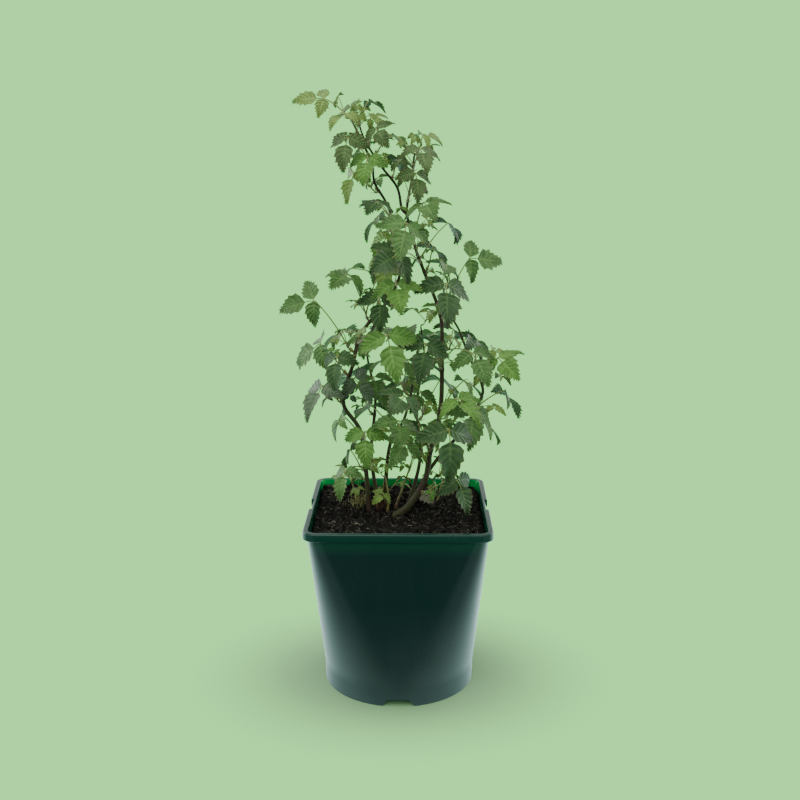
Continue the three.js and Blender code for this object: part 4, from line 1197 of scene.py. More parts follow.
def soil_part(seed):
    """The soil: a closed filling of the pot whose top is the height field over rings drawn in from
    the wall to the middle by a share^0.85, its edge rounded down to the wall."""
    rings = [finer(body_ring(WALL + SOIL_CLEARANCE, z), SOIL_FINER) for z in SOIL_RINGS]
    edge = finer(body_ring(WALL + SOIL_CLEARANCE, SOIL_LEVEL - SOIL_BUMP), SOIL_FINER)
    first_top = len(rings)
    for scale in np.linspace(1.0, 0.0, SOIL_ROWS)[:-1] ** 0.85:
        x, y = edge[:, 0] * scale, edge[:, 1] * scale
        rounded = SOIL_ROUNDED * (scale - SOIL_EDGE) / (1.0 - SOIL_EDGE) * (scale > SOIL_EDGE)
        z = soil_height(x, y, seed) - rounded
        rings.append(np.column_stack([x, y, z]))
    rings[first_top][:, 2] = SOIL_LEVEL - SOIL_BUMP - 1.0
    points = np.array(rings)
    rows, columns = points.shape[:2]
    centres = [[0.0, 0.0, SOIL_RINGS[0]], [0.0, 0.0, points[-1, :, 2].mean()]]
    return {"points": np.vstack([points.reshape(-1, 3), centres]), "values": {},
            "quads": grid_quads(rows, columns), "triangles": end_fans(rows, columns)}


def finer(ring, times):
    """A closed ring with so many points for each one, spaced evenly along it."""
    closed = np.vstack([ring, ring[:1]])
    return evenly(closed, times * len(ring) + 1)[:-1]


# A lump's corners: those of an icosahedron, on the unit sphere
GOLDEN = 0.5 * (1 + math.sqrt(5))
LUMP_CORNERS = unit(np.array([
    (-1, GOLDEN, 0), (1, GOLDEN, 0), (-1, -GOLDEN, 0), (1, -GOLDEN, 0),
    (0, -1, GOLDEN), (0, 1, GOLDEN), (0, -1, -GOLDEN), (0, 1, -GOLDEN),
    (GOLDEN, 0, -1), (GOLDEN, 0, 1), (-GOLDEN, 0, -1), (-GOLDEN, 0, 1),
]))
LUMP_FACES = np.array([(0, 11, 5), (0, 5, 1), (0, 1, 7), (0, 7, 10), (0, 10, 11), (1, 5, 9), (5, 11, 4),
                       (11, 10, 2), (10, 7, 6), (7, 1, 8), (3, 9, 4), (3, 4, 2), (3, 2, 6), (3, 6, 8),
                       (3, 8, 9), (4, 9, 5), (2, 4, 11), (6, 2, 10), (8, 6, 7), (9, 8, 1)])


def turned_frames(count, rng):
    """So many random turns, as matrices: unit quaternions drawn from the normal distribution."""
    w, x, y, z = unit(rng.normal(size=(count, 4))).T
    rows = [[1 - 2 * (y * y + z * z), 2 * (x * y - z * w), 2 * (x * z + y * w)],
            [2 * (x * y + z * w), 1 - 2 * (x * x + z * z), 2 * (y * z - x * w)],
            [2 * (x * z - y * w), 2 * (y * z + x * w), 1 - 2 * (x * x + y * y)]]
    return np.moveaxis(np.array(rows), -1, 0)


def scattered(count, rng, spread=0.97):
    """Random places on the soil: even over the square, drawn in from its rounded edge."""
    places = rng.uniform(-1, 1, (3 * count, 2)) * SOIL_HALF * spread
    over = np.maximum(np.abs(places) - (SOIL_HALF * spread - SOIL_CORNER), 0.0)
    return places[np.hypot(over[:, 0], over[:, 1]) < SOIL_CORNER][:count]


def crumbs_part(count, seed):
    """Crumbs: icosahedra with each corner pushed in or out, squashed, turned and sunk in nearly by
    half, most of them small: 0.45 + 2.5 share^3.5 mm."""
    rng = np.random.default_rng(seed + 1)
    places = scattered(count, rng)
    corner_count = len(LUMP_CORNERS)
    size = 0.45 + 2.5 * rng.random((count, 1, 1)) ** 3.5
    corners = LUMP_CORNERS[None] * (1 + 0.35 * rng.uniform(-1, 1, (count, corner_count, 1)))
    squash = rng.uniform((0.7, 0.6, 0.45), (1.6, 1.0, 0.8), (count, 3))[:, None]
    corners = np.einsum("nij,nkj->nki", turned_frames(count, rng), corners * squash * size)
    z = soil_height(places[:, 0], places[:, 1], seed) + 0.2 * size[:, 0, 0]
    points = corners + np.column_stack([places, z])[:, None]
    shade = np.repeat(rng.random(count), corner_count)
    return {"points": points.reshape(-1, 3), "quads": np.zeros((0, 4), int),
            "triangles": repeated(LUMP_FACES, count, corner_count), "values": {"shade": shade}}


def fibres_part(count, seed):
    """Fibres and bits of stalk: thin tapering arcs that lie on the crumbs, the ends a little up. At
    share s from their middle they run length s ahead and curl (s^2 - 0.1) length aside."""
    rng = np.random.default_rng(seed + 2)
    places = scattered(count, rng, 0.93)
    length = (2.5 + 11.0 * rng.random(count) ** 2.5)[:, None]
    heading = rng.uniform(0, 2 * math.pi, count)[:, None]
    s = np.linspace(-0.5, 0.5, 6)[None]
    aside = rng.uniform(-1.2, 1.2, count)[:, None] * (s**2 - 0.1)
    x = places[:, :1] + length * (s * np.cos(heading) - aside * np.sin(heading))
    y = places[:, 1:] + length * (s * np.sin(heading) + aside * np.cos(heading))
    x, y = (np.clip(value, -SOIL_EDGE * SOIL_HALF, SOIL_EDGE * SOIL_HALF) for value in (x, y))
    middle = soil_height(places[:, :1], places[:, 1:], seed)
    ground = soil_height(x, y, seed)
    tilt = rng.uniform(-1, 1, (count, 1)) * s * 0.22 * length
    z = np.maximum(0.5 * middle + 0.5 * ground + 1.0 + tilt, ground + 0.35)
    paths = np.stack([x, y, z], axis=-1)
    radii = (0.15 + 0.17 * rng.random(count))[:, None] * (1 - 1.6 * s**2)
    values = {"shade": rng.random(count)[:, None]}
    return tubes(paths, radii, UP[None], 3, values)


def crown_part(rng):
    """The woody crown: the source's lobed profile, finer, with folds that run down it and rounded
    knobs, radius = profile x (1 + 0.09 (sin(3 t + twist) - 1) + folds + knobs)."""
    way = np.linspace(0.0, 1.0, CROWN_ROWS)
    stops = np.linspace(0.0, 1.0, len(CROWN_HEIGHTS))
    height, share = (np.interp(way, stops, table)[:, None] for table in (CROWN_HEIGHTS, CROWN_SHARES))
    angle = full_turn(CROWN_COLUMNS)[None]
    lobes = CROWN_LOBES * (np.sin(3 * angle + 0.25 * height) - 1)
    folds = CROWN_FOLDS * np.sin(9 * angle + 0.5 * height + 1.3 * np.sin(2 * angle))
    knobs = 0.0
    for _ in range(CROWN_KNOBS):
        centre, level = rng.uniform(0, 2 * math.pi), rng.uniform(1.0, 16.0)
        around = np.angle(np.exp(1j * (angle - centre)))
        bell = np.exp(-((around / KNOB_WIDTH) ** 2) - ((height - level) / KNOB_LENGTH) ** 2)
        knobs = knobs + KNOB_HEIGHT * bell
    radius = CROWN_RADIUS * share * (1 + lobes + folds + knobs)
    x = CROWN_CENTRE[0] + radius * np.cos(angle)
    y = CROWN_CENTRE[1] + radius * np.sin(angle)
    points = np.stack([x, y, FOOT + height + 0 * x], axis=-1).reshape(-1, 3)
    ends = [[*CROWN_CENTRE, FOOT + CROWN_HEIGHTS[0]], [*CROWN_CENTRE, FOOT + CROWN_HEIGHTS[-1]]]
    points = np.vstack([points, ends])
    return {"points": points, "quads": grid_quads(CROWN_ROWS, CROWN_COLUMNS),
            "triangles": end_fans(CROWN_ROWS, CROWN_COLUMNS), "values": {"along": np.zeros(len(points))}}


# Young growth: the rule carried on to finer twigs within the same reach

# Shoots at the foot: foot and tip radius, then the bends
SHOOTS = [
    ((1.3, 0.7), [(-20, 17, FOOT), (-19, 19, 190), (-16, 21, 203), (-15, 24, 213)]),
    ((1.1, 0.6), [(-46, 44, FOOT), (-49, 45, 189), (-52, 44, 200)]),
    ((1.3, 0.7), [(-4, 22, FOOT), (4, 28, 198), (12, 31, 222), (17, 35, 243)]),
    ((1.2, 0.6), [(40, 36, FOOT), (43, 38, 190), (47, 38, 204)]),
    ((1.2, 0.6), [(-12, 4, FOOT), (-11, 3, 195), (-14, 3, 217)]),
]
YOUNG_FIRST = 10
YOUNG_LEAVES = 2
YOUNG_AROUND = 2.6
YOUNG_RISE = (0.3, 1.25)
YOUNG_REACH = (11.0, 21.0)
YOUNG_SIZE = (8.0, 15.0)
YOUNG_DROOP = (-0.2, 0.9)
YOUNG_ROLL = (-0.5, 0.5)
YOUNG_TURN = (-0.4, 0.4)

# At a tip the young leaves grow from its last ring and from rings lower down
TIP_INDEX = 200
TIP_LEAVES = 4
BELOW_TIP_LEAVES = 2
STEM_TIP_RINGS = (0, 2)
SHOOT_TIP_RINGS = (0, 2, 4)
TIP_BEARING = 1.9
TIP_RISE = 0.9
TIP_REACH = 14.0
TIP_SIZE = 12.0


def tip_bearers(stems, shoots):
    """The clusters at the tips, as sprays of their own with the number of their leaves."""
    bearers = []
    for number, (name, limb) in enumerate({**stems, **shoots}.items()):
        tone, rings = ("young", STEM_TIP_RINGS) if name in stems else ("bright", SHOOT_TIP_RINGS)
        for down in rings:
            index = TIP_INDEX + 3 * number + down
            tip = {"stem": limb, "ring": len(limb["path"]) - 1 - down, "bearing": TIP_BEARING * index,
                   "rise": TIP_RISE, "reach": TIP_REACH, "size": TIP_SIZE, "index": index,
                   "tone": tone, "tip": True}
            bearers.append((tip, BELOW_TIP_LEAVES if down else TIP_LEAVES))
    return bearers


def grow_young(sprays, grown, stems, shoots):
    """Small leaves from every grown spray's twig, and a cluster round the tip of every stem and
    foot shoot, each at random bearings until it touches nothing."""
    in_leaf = {leaf["spray"]["name"] for leaf in grown}
    bearers = [(spray, YOUNG_LEAVES) for spray in sprays if spray["name"] in in_leaf]
    limbs = {**stems, **shoots}
    young = []
    for spray, count in bearers + tip_bearers(stems, shoots):
        for leaf_index in range(YOUNG_FIRST, YOUNG_FIRST + count):
            random = seed_for(spray["index"], leaf_index)
            twig = place_twig(spray)
            for _ in range(TRIES):
                bearing = spray["bearing"] + random(-YOUNG_AROUND, YOUNG_AROUND)
                rise, reach, size = random(*YOUNG_RISE), random(*YOUNG_REACH), random(*YOUNG_SIZE)
                junction = twig["shoot"] + on_bearing(bearing, rise, reach)
                droop, roll, turn = random(*YOUNG_DROOP), random(*YOUNG_ROLL), random(*YOUNG_TURN)
                leaf = make_leaf(twig["node"], twig["shoot"], junction, size, droop, roll, turn)
                if not touches(leaf, spray, grown + young, limbs):
                    leaf["spray"] = spray
                    leaf["later"] = not spray.get("tip")
                    young.append(leaf)
                    break
    return young


@functools.lru_cache(maxsize=1)
def grown_bush():
    """Stems, foot shoots, the source's leaves and the young ones."""
    stems, shoots = {}, {}
    for name, row in STEMS.items():
        stems[name] = trace_stem(row, stems)
    for number, (radii, bends) in enumerate(SHOOTS, start=1):
        shoots[f"foot_shoot_{number}"] = trace_stem({"radii": radii, "bends": bends}, shoots)
    sprays = list_sprays(stems)
    grown = grow_leaves(sprays, stems)
    return stems, shoots, grown, grow_young(sprays, grown, stems, shoots)


def moss_part(seed):
    """A tuft of moss on the soil: thin blades that lean every way, the longest in its middle, bent
    over by lean length s^2 at share s of their length."""
    rng = np.random.default_rng(seed + 3)
    away = rng.normal(size=(MOSS_BLADES, 2)) * MOSS_SPREAD
    x, y = MOSS_PLACE[0] + away[:, :1], MOSS_PLACE[1] + away[:, 1:]
    tall = np.exp(-(away**2).sum(axis=1) / 90.0)
    length = (2.6 + 6.4 * tall * rng.random(MOSS_BLADES))[:, None]
    s = np.linspace(0.0, 1.0, 4)[None]
    lean = rng.normal(size=(MOSS_BLADES, 2)) * 0.5
    z = soil_height(x, y, seed) - 0.2 + length * s
    x, y = x + lean[:, :1] * length * s**2, y + lean[:, 1:] * length * s**2
    radii = np.broadcast_to(0.36 * (1 - s**2) + 0.05, z.shape)
    values = {"shade": rng.random(MOSS_BLADES)[:, None]}
    return tubes(np.stack([x, y, z], axis=-1), radii, EAST[None], 3, values)


def fallen_leaf(seed):
    """A withered leaflet lying on the soil, in the frame of a leaflet of the bush."""
    x, y = FALLEN_PLACE
    base = np.array([x, y, soil_height(np.array(x), np.array(y), seed) + FALLEN_LIFT])
    forward = unit(FALLEN_FORWARD)
    face = unit(np.cross(forward, np.cross(FALLEN_FACE, forward)))
    return make_leaflet(base, forward, face, FALLEN_LENGTH, FALLEN_BREADTH)


# Finishes

DUSTED_TO = 0.11
# Painted light: the heights over which the plastic turns into the lighter, greener band above the soil
LIT_BAND = (0.1635, 0.181)
# Painted light and shade: across these depths the bare inside turns from painted shade to painted light
# at the back wall
PAINTED_LIGHT_BACK_WALL = (0.06, 0.083)
RIM_BARENESS = 0.42
PLASTIC_GLOSS = (0.5, 0.12)
PLASTIC_ROUGHER = (-0.05, 0.09)
BARK_BELOW = 0.4
BARK_ABOVE = 0.56
CROWN_DARK = (0.183, 0.177)
LEAF_GLOSS = 0.2
LEAF_ROUGHNESS = 0.42
UNDER_ROUGHNESS = 0.65
UNDER_TINT = (1.0, 0.92, 1.2)
UNDER_PALER = (0.03, 0.035, 0.025)
LEAF_SHADE = (0.54, 0.58, 0.54, 1.0)
VEIN_PALER = (0.05, 0.055, 0.02)
EDGE_FROM = 0.5
EDGE_SHARE = 0.5
BRONZE_FROM = 0.32
BRONZE_SHARE = 0.75
PLEAT = 0.9
PLEAT_AT_MIDRIB = 0.3
GRAIN = 0.035
LEAF_RELIEF = 0.0004


class Finish:
    """A new node material with one principled shader, and short ways to add nodes to it."""

    def __init__(self, name, roughness, gloss):
        """The shader gets this roughness and specular level."""
        self.material = bpy.data.materials.new(name)
        self.material.use_nodes = True
        self.tree = self.material.node_tree
        self.shader = self.tree.nodes["Principled BSDF"]
        self.shader.inputs["Roughness"].default_value = roughness
        self.shader.inputs["Specular IOR Level"].default_value = gloss

    def node(self, kind, inputs, **settings):
        """A node with its settings, its inputs set to values or linked to other nodes' outputs."""
        node = self.tree.nodes.new(kind)
        for key, value in settings.items():
            setattr(node, key, value)
        for key, value in inputs.items():
            if isinstance(value, bpy.types.NodeSocket):
                self.tree.links.new(value, node.inputs[key])
            else:
                node.inputs[key].default_value = value
        return node

    def place(self, kind="Object"):
        """The object's own coordinates, or UV: a leaflet's, from edge to edge and base to tip."""
        return self.node("ShaderNodeTexCoord", {}).outputs[kind]

    def value(self, name):
        """A point attribute of the mesh."""
        return self.node("ShaderNodeAttribute", {}, attribute_name=name).outputs["Fac"]

    def noise(self, vector, scale, detail=3.0):
        """Cloudy noise from 0 to 1."""
        inputs = {"Vector": vector, "Scale": scale, "Detail": detail, "Roughness": 0.6}
        return self.node("ShaderNodeTexNoise", inputs).outputs["Fac"]

    def stretched(self, vector, scale):
        """The coordinates times a scale for each axis."""
        return self.node("ShaderNodeMapping", {"Vector": vector, "Scale": scale}).outputs[0]

    def step(self, value, low, high, start=0.0, end=1.0):
        """The value's way from low to high, carried over to start and end and held outside."""
        inputs = {0: value, 1: low, 2: high, 3: start, 4: end}
        return self.node("ShaderNodeMapRange", inputs, clamp=True).outputs["Result"]

    def maths(self, operation, first, second=0.0):
        """One sum of two values, or of one."""
        return self.node("ShaderNodeMath", {0: first, 1: second}, operation=operation).outputs[0]

    def mix(self, share, first, second):
        """The first colour, with so large a share of the second."""
        first, second = (value if isinstance(value, bpy.types.NodeSocket) else tuple(value)
                         for value in (first, second))
        inputs = {0: share, 6: first, 7: second}
        return self.node("ShaderNodeMix", inputs, data_type="RGBA").outputs[2]

    def axis(self, vector, name):
        """The x, y or z of a position."""
        return self.node("ShaderNodeSeparateXYZ", {0: vector}).outputs[name]

    def bump(self, value, strength, distance):
        """The shader's normal tipped by a height field, whose height is in metres."""
        inputs = {"Strength": strength, "Distance": distance, "Height": value}
        self.tree.links.new(self.node("ShaderNodeBump", inputs).outputs[0], self.shader.inputs["Normal"])

    def colour(self, socket):
        """The shader's base colour."""
        self.tree.links.new(socket, self.shader.inputs["Base Color"])

    def rough(self, socket):
        """The shader's roughness."""
        self.tree.links.new(socket, self.shader.inputs["Roughness"])


def plastic_finish(looks):
    """Moulded plastic with painted light: a lighter, greener band above the soil, as if lit through the
    wall, a lighter, greener lip, and a bare inside painted bright green at the back wall with painted
    shade at the sides. It is dusted towards the foot, and is faintly clouded and scuffed."""
    finish = Finish("pot_plastic", looks.roughness, 0.5)
    place = finish.place()
    height = finish.axis(place, "Z")
    rim, inside = finish.value("rim"), finish.value("inside")
    cloud = finish.noise(place, 14.0)
    dusty = finish.step(cloud, 0.3, 0.65, 0.45, 1.0)
    dust = finish.maths("MULTIPLY", finish.step(height, DUSTED_TO, 0.0), dusty)
    body = finish.mix(dust, looks.plastic, looks.dust)
    # Painted light: above the soil the plastic is painted a lighter, greener band, as if lit through the
    # wall
    body = finish.mix(finish.step(height, *LIT_BAND), body, looks.lit_band)
    # Painted light: the lip is a lighter, greener copy of the same plastic
    body = finish.mix(finish.step(rim, 0.2, 0.8), body, looks.rim)
    # Painted light and shade: the bare inside is painted bright green at the back wall and darker
    # elsewhere
    back = finish.step(finish.axis(place, "Y"), *PAINTED_LIGHT_BACK_WALL)
    painted_lit_and_shaded_inside = finish.mix(back, looks.inside_shaded, looks.inside)
    finish.colour(finish.mix(finish.step(inside, 0.2, 0.8), body, painted_lit_and_shaded_inside))
    bare = finish.maths("MAXIMUM", inside, finish.maths("MULTIPLY", rim, RIM_BARENESS))
    gloss = finish.step(bare, 0.2, 0.8, *PLASTIC_GLOSS)
    finish.tree.links.new(gloss, finish.shader.inputs["Specular IOR Level"])
    scuff = finish.noise(finish.stretched(place, (1.0, 1.0, 0.08)), 180.0)
    ends = [looks.roughness + change for change in PLASTIC_ROUGHER]
    finish.rough(finish.step(finish.maths("ADD", cloud, scuff), 0.6, 1.4, *ends))
    finish.bump(finish.noise(place, 900.0), 0.08, 0.0004)
    return finish.material


def soil_finish(looks):
    """Peaty soil: near-black to brown by cloudy noise, flecked with paler fibre."""
    finish = Finish("soil_peat", 0.9, 0.12)
    place = finish.place()
    base = finish.mix(finish.step(finish.noise(place, 160.0), 0.35, 0.65), looks.damp, looks.peat)
    fleck = finish.step(finish.noise(place, 900.0), 0.62, 0.74, 0.0, 0.55)
    finish.colour(finish.mix(fleck, base, looks.fleck))
    finish.bump(finish.noise(place, 700.0, 5.0), 0.8, 0.0012)
    return finish.material


def scatter_finish(name, dark, light, roughness):
    """Bits that differ one from the next: dark to light by each bit's own shade, mottled."""
    finish = Finish(name, roughness, 0.15)
    mottle = finish.noise(finish.place(), 600.0)
    shade = finish.maths("ADD", finish.value("shade"), finish.step(mottle, 0.3, 0.7, -0.25, 0.25))
    finish.colour(finish.mix(finish.step(shade, 0.25, 1.0), dark, light))
    finish.bump(mottle, 0.4, 0.0005)
    return finish.material


def wood_finish(name, looks):
    """Bark: green-brown below, purple-brown above, streaked along the stem and dotted with pale
    pores."""
    finish = Finish(name, 0.62, 0.2)
    place = finish.place()
    height = finish.step(finish.axis(place, "Z"), BARK_BELOW, BARK_ABOVE)
    patch = finish.noise(place, 55.0)
    lower = finish.mix(finish.step(patch, 0.38, 0.62), looks.green_bark, looks.brown_bark)
    upper = finish.mix(finish.step(patch, 0.45, 0.68), looks.purple_bark, looks.brown_bark)
    base = finish.mix(height, lower, upper)
    streak = finish.noise(finish.stretched(place, (1.0, 1.0, 0.2)), 800.0)
    base = finish.mix(finish.step(streak, 0.4, 0.75, 0.0, 0.5), base, looks.purple_bark)
    pores = finish.step(finish.noise(place, 1100.0, 1.0), 0.68, 0.76, 0.0, 0.5)
    finish.colour(finish.mix(pores, base, looks.pores))
    finish.bump(streak, 0.5, 0.0006)
    return finish.material


def crown_finish(looks):
    """Old wood: red-brown, darker in its cracks and by the soil, furrowed up and down."""
    finish = Finish("root_crown_wood", 0.75, 0.2)
    place = finish.place()
    furrow = finish.noise(finish.stretched(place, (1.0, 1.0, 0.3)), 420.0, 5.0)
    base = finish.mix(finish.step(furrow, 0.38, 0.6), looks.old_wood_dark, looks.old_wood)
    low = finish.step(finish.axis(place, "Z"), *CROWN_DARK, 0.0, 0.7)
    finish.colour(finish.mix(low, base, looks.old_wood_dark))
    finish.bump(furrow, 0.9, 0.0012)
    return finish.material


def stalk_finish(name, looks):
    """Stalks: reddish at the root, yellow-green towards the blades, mottled."""
    finish = Finish(name, 0.45, 0.4)
    cloud = finish.noise(finish.place(), 250.0)
    along = finish.maths("ADD", finish.value("along"), finish.step(cloud, 0.3, 0.7, -0.25, 0.25))
    finish.colour(finish.mix(finish.step(along, -0.1, 0.4), looks.red_stalk, looks.green_stalk))
    finish.bump(cloud, 0.3, 0.0004)
    return finish.material


def leaf_finish(tone, looks, underside):
    """A leaf of one tone: clouded light and dark, a little different from leaf to leaf, paler along
    its veins, with a bronzed edge. Between the side veins, where rib is a whole number, it is
    pleated by a cosine of rib and netted."""
    light = np.array(getattr(looks, tone))
    if underside:
        light = np.append(light[:3] * UNDER_TINT + UNDER_PALER, 1.0)
    dark = light * LEAF_SHADE
    vein = np.append(light[:3] * 1.3 + VEIN_PALER, 1.0)
    name = f"leaf_{tone}_{'under' if underside else 'top'}"
    finish = Finish(name, UNDER_ROUGHNESS if underside else LEAF_ROUGHNESS, LEAF_GLOSS)
    place, uv, rib = finish.place(), finish.place("UV"), finish.value("rib")
    base = finish.mix(finish.step(finish.noise(place, 110.0), 0.36, 0.64), dark, light)
    base = finish.mix(finish.step(finish.value("shade"), 0.0, 1.0, 0.0, 0.5), base, dark)
    way_out = finish.maths("ABSOLUTE", finish.step(finish.axis(uv, "X"), 0.0, 1.0, -1.0, 1.0))
    off_vein = finish.maths("PINGPONG", rib, 0.5)
    fading = finish.step(way_out, 0.0, 1.0, 1.0, 0.5)
    side_vein = finish.maths("MULTIPLY", finish.step(off_vein, 0.0, 0.15, 0.5, 0.0), fading)
    veins = finish.maths("MAXIMUM", side_vein, finish.step(way_out, 0.0, 0.16, 0.55, 0.0))
    base = finish.mix(veins, base, vein)
    bronzed = tone == "bronze"
    start, share = (BRONZE_FROM, BRONZE_SHARE) if bronzed else (EDGE_FROM, EDGE_SHARE)
    outer = finish.step(finish.maths("POWER", way_out, 4.0), start, 1.0, 0.0, share)
    finish.colour(finish.mix(outer, base, looks.edge_bronze if bronzed else looks.edge))
    cells = finish.node("ShaderNodeTexVoronoi", {"Vector": uv, "Scale": 24.0},
                        feature="DISTANCE_TO_EDGE")
    net = finish.step(cells.outputs["Distance"], 0.0, 0.1)
    grain = finish.maths("ADD", net, finish.noise(place, 1100.0))
    swell = finish.maths("COSINE", finish.maths("MULTIPLY", rib, 2 * math.pi))
    most = PLEAT if underside else -PLEAT
    rise = finish.step(way_out, 0.0, 0.35, PLEAT_AT_MIDRIB * most, most)
    pleat = finish.maths("MULTIPLY", swell, rise)
    height = finish.maths("ADD", finish.maths("MULTIPLY", grain, GRAIN), pleat)
    finish.bump(height, 1.0, LEAF_RELIEF)
    return finish.material


# Settings that a user would change


def tint(red, green, blue, text):
    """A colour setting, given as scene values."""
    return bpy.props.FloatVectorProperty(
        name=text, description=f"{text}, as a base colour", subtype="COLOR", size=4, min=0.0, max=1.0,
        default=(red, green, blue, 1.0))


def slider(text, about, default, low, high):
    """A setting between two limits, shown as a slider."""
    return bpy.props.FloatProperty(
        name=text, description=about, default=default, min=low, max=high, subtype="FACTOR")


def amount(text, about, default, low, high):
    """A setting in whole numbers."""
    return bpy.props.IntProperty(name=text, description=about, default=default, min=low, max=high)


def wattage(text, about, default):
    """The power of a light or of each of two."""
    return bpy.props.FloatProperty(name=text, description=about, default=default, min=0.0, unit="POWER")


class BRAMBLE_PG_pot(bpy.types.PropertyGroup):
    """Looks of the pot."""

    plastic: tint(0.006, 0.029, 0.024, "Plastic")
    # Painted light: the plastic above the soil, as if lit through
    lit_band: tint(0.004, 0.078, 0.038, "Plastic above the soil")
    # Painted light: a lighter, greener copy of the plastic for the lip
    rim: tint(0.0035, 0.044, 0.028, "Rim")
    # Painted light: the bare inside at the back wall, bright green as if lit through
    inside: tint(0.002, 0.34, 0.07, "Bare inside")
    # Painted shade: the same bare inside away from the back wall
    inside_shaded: tint(0.006, 0.075, 0.04, "Bare inside off the back")
    dust: tint(0.032, 0.058, 0.052, "Dusted foot")
    roughness: slider("Roughness", "Roughness of the plastic", 0.22, 0.1, 0.9)


class BRAMBLE_PG_soil(bpy.types.PropertyGroup):
    """Looks of the soil."""

    damp: tint(0.0075, 0.0076, 0.0062, "Damp peat")
    peat: tint(0.0165, 0.0157, 0.0122, "Dry peat")
    fleck: tint(0.045, 0.041, 0.03, "Flecks")
    straw: tint(0.3, 0.295, 0.22, "Straw")
    straw_dark: tint(0.045, 0.038, 0.027, "Rotted straw")
    moss: tint(0.5, 0.52, 0.22, "Moss")
    moss_dark: tint(0.1, 0.105, 0.045, "Moss in its depth")
    crumbs: amount("Crumbs", "Crumbs of soil on the surface", 2200, 0, 8000)
    fibres: amount("Fibres", "Fibres on the surface", 540, 0, 3000)
    seed: amount("Seed", "Another number scatters them anew", 7, 0, 9999)


class BRAMBLE_PG_wood(bpy.types.PropertyGroup):
    """Looks of stems, stalks and crown."""

    purple_bark: tint(0.022, 0.012, 0.013, "Bark above")
    brown_bark: tint(0.055, 0.034, 0.022, "Bark in patches")
    green_bark: tint(0.06, 0.074, 0.026, "Bark below")
    pores: tint(0.16, 0.12, 0.08, "Pores")
    old_wood: tint(0.1, 0.055, 0.03, "Root crown")
    old_wood_dark: tint(0.02, 0.012, 0.008, "Cracks in the crown")
    red_stalk: tint(0.12, 0.06, 0.035, "Stalks' roots")
    green_stalk: tint(0.22, 0.27, 0.07, "Stalks")
    relief: slider("Relief", "Height of the bark's ribs over the radius", 0.045, 0.0, 0.15)


class BRAMBLE_PG_leaves(bpy.types.PropertyGroup):
    """Looks of the leaves."""

    young: tint(0.22, 0.375, 0.08, "Young leaves")
    bright: tint(0.135, 0.325, 0.055, "Bright leaves")
    mid: tint(0.1, 0.235, 0.056, "Leaves")
    dark: tint(0.05, 0.125, 0.036, "Dark leaves")
    bronze: tint(0.1, 0.186, 0.054, "Bronzed leaves")
    grey: tint(0.12, 0.195, 0.105, "Grey leaves")
    withered: tint(0.24, 0.25, 0.17, "Withered leaf")
    edge: tint(0.17, 0.15, 0.075, "Edges")
    edge_bronze: tint(0.12, 0.06, 0.035, "Edges of bronzed leaves")
    teeth: amount("Teeth", "Large teeth on each side of a leaflet", 8, 4, 12)
    tooth_depth: slider("Tooth depth", "Depth of the teeth over the length", 0.12, 0.0, 0.25)


class BRAMBLE_PG_stage(bpy.types.PropertyGroup):
    """The studio."""

    # Painted shadow: the lit floor near the pot, darker than the backdrop
    floor: tint(0.272, 0.49, 0.246, "Floor")
    backdrop: bpy.props.FloatVectorProperty(
        name="Backdrop", description="Brightness and colour of the backdrop", subtype="COLOR", size=4,
        min=0.0, max=4.0, default=(0.457, 1.4456, 0.3867, 1.0))
    lens: bpy.props.FloatProperty(
        name="Lens", description="Camera's focal length", default=49.37, min=10.0, unit="CAMERA")
    top_light: wattage("Top light", "Power of the softbox overhead", 9.0)
    side_light: wattage("Side lights", "Power of each strip at the sides", 10.0)
    front_light: wattage("Front light", "Power of the softbox in front", 9.0)


# Operators: one for each piece or group of like pieces

TONES = ("young", "bright", "mid", "dark", "bronze", "grey")
YOUNG_TONES = {"young": "young", "bright": "young", "mid": "young", "dark": "bright",
               "bronze": "bronze", "grey": "grey"}
YOUNG_TEETH = 6
LEAF_DIFFERENCE = 0.7
LEAFLET_DIFFERENCE = 0.3
WITHERED_SHADE = np.array([0.2])
GROWTH_SEED = 5


def make_blades(name, tone, leaflets, teeth, looks, shade, rng):
    """One piece of these leaflets, with finishes for above and below that meet at a sharp rim."""
    part = blades(leaflets, teeth, looks.tooth_depth, shade, rng)
    piece = make_piece(name, part, [leaf_finish(tone, looks, underside) for underside in (False, True)])
    piece.data.set_sharp_from_angle(angle=RIM_ANGLE)
    return piece


def make_foliage(name, tone, leaves, teeth, looks, rng):
    """One piece of all these leaves' blades, each leaf and each leaflet shaded a little its own way."""
    leaflets = [leaflet for leaf in leaves for leaflet in leaf["leaflets"]]
    shade = np.repeat(rng.random(len(leaves)), 3) * LEAF_DIFFERENCE
    shade = shade + LEAFLET_DIFFERENCE * rng.random(len(leaflets))
    piece = make_blades(name, tone, leaflets, teeth, looks, shade, rng)
    return piece


class BRAMBLE_OT_pot(bpy.types.Operator):
    """Mould the pot: its wall with lip and foot, and its floor with the drain holes."""

    bl_idname = "bramble.pot"
    bl_label = "Pot"

    def execute(self, context):
        """Both closed shells in one piece."""
        part = join([pot_wall(), pot_floor()])
        piece = make_piece("pot_body", part, [plastic_finish(context.scene.bramble_pot)])
        piece.data.set_sharp_from_angle(angle=POT_ANGLE)
        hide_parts("pot")
        return {"FINISHED"}


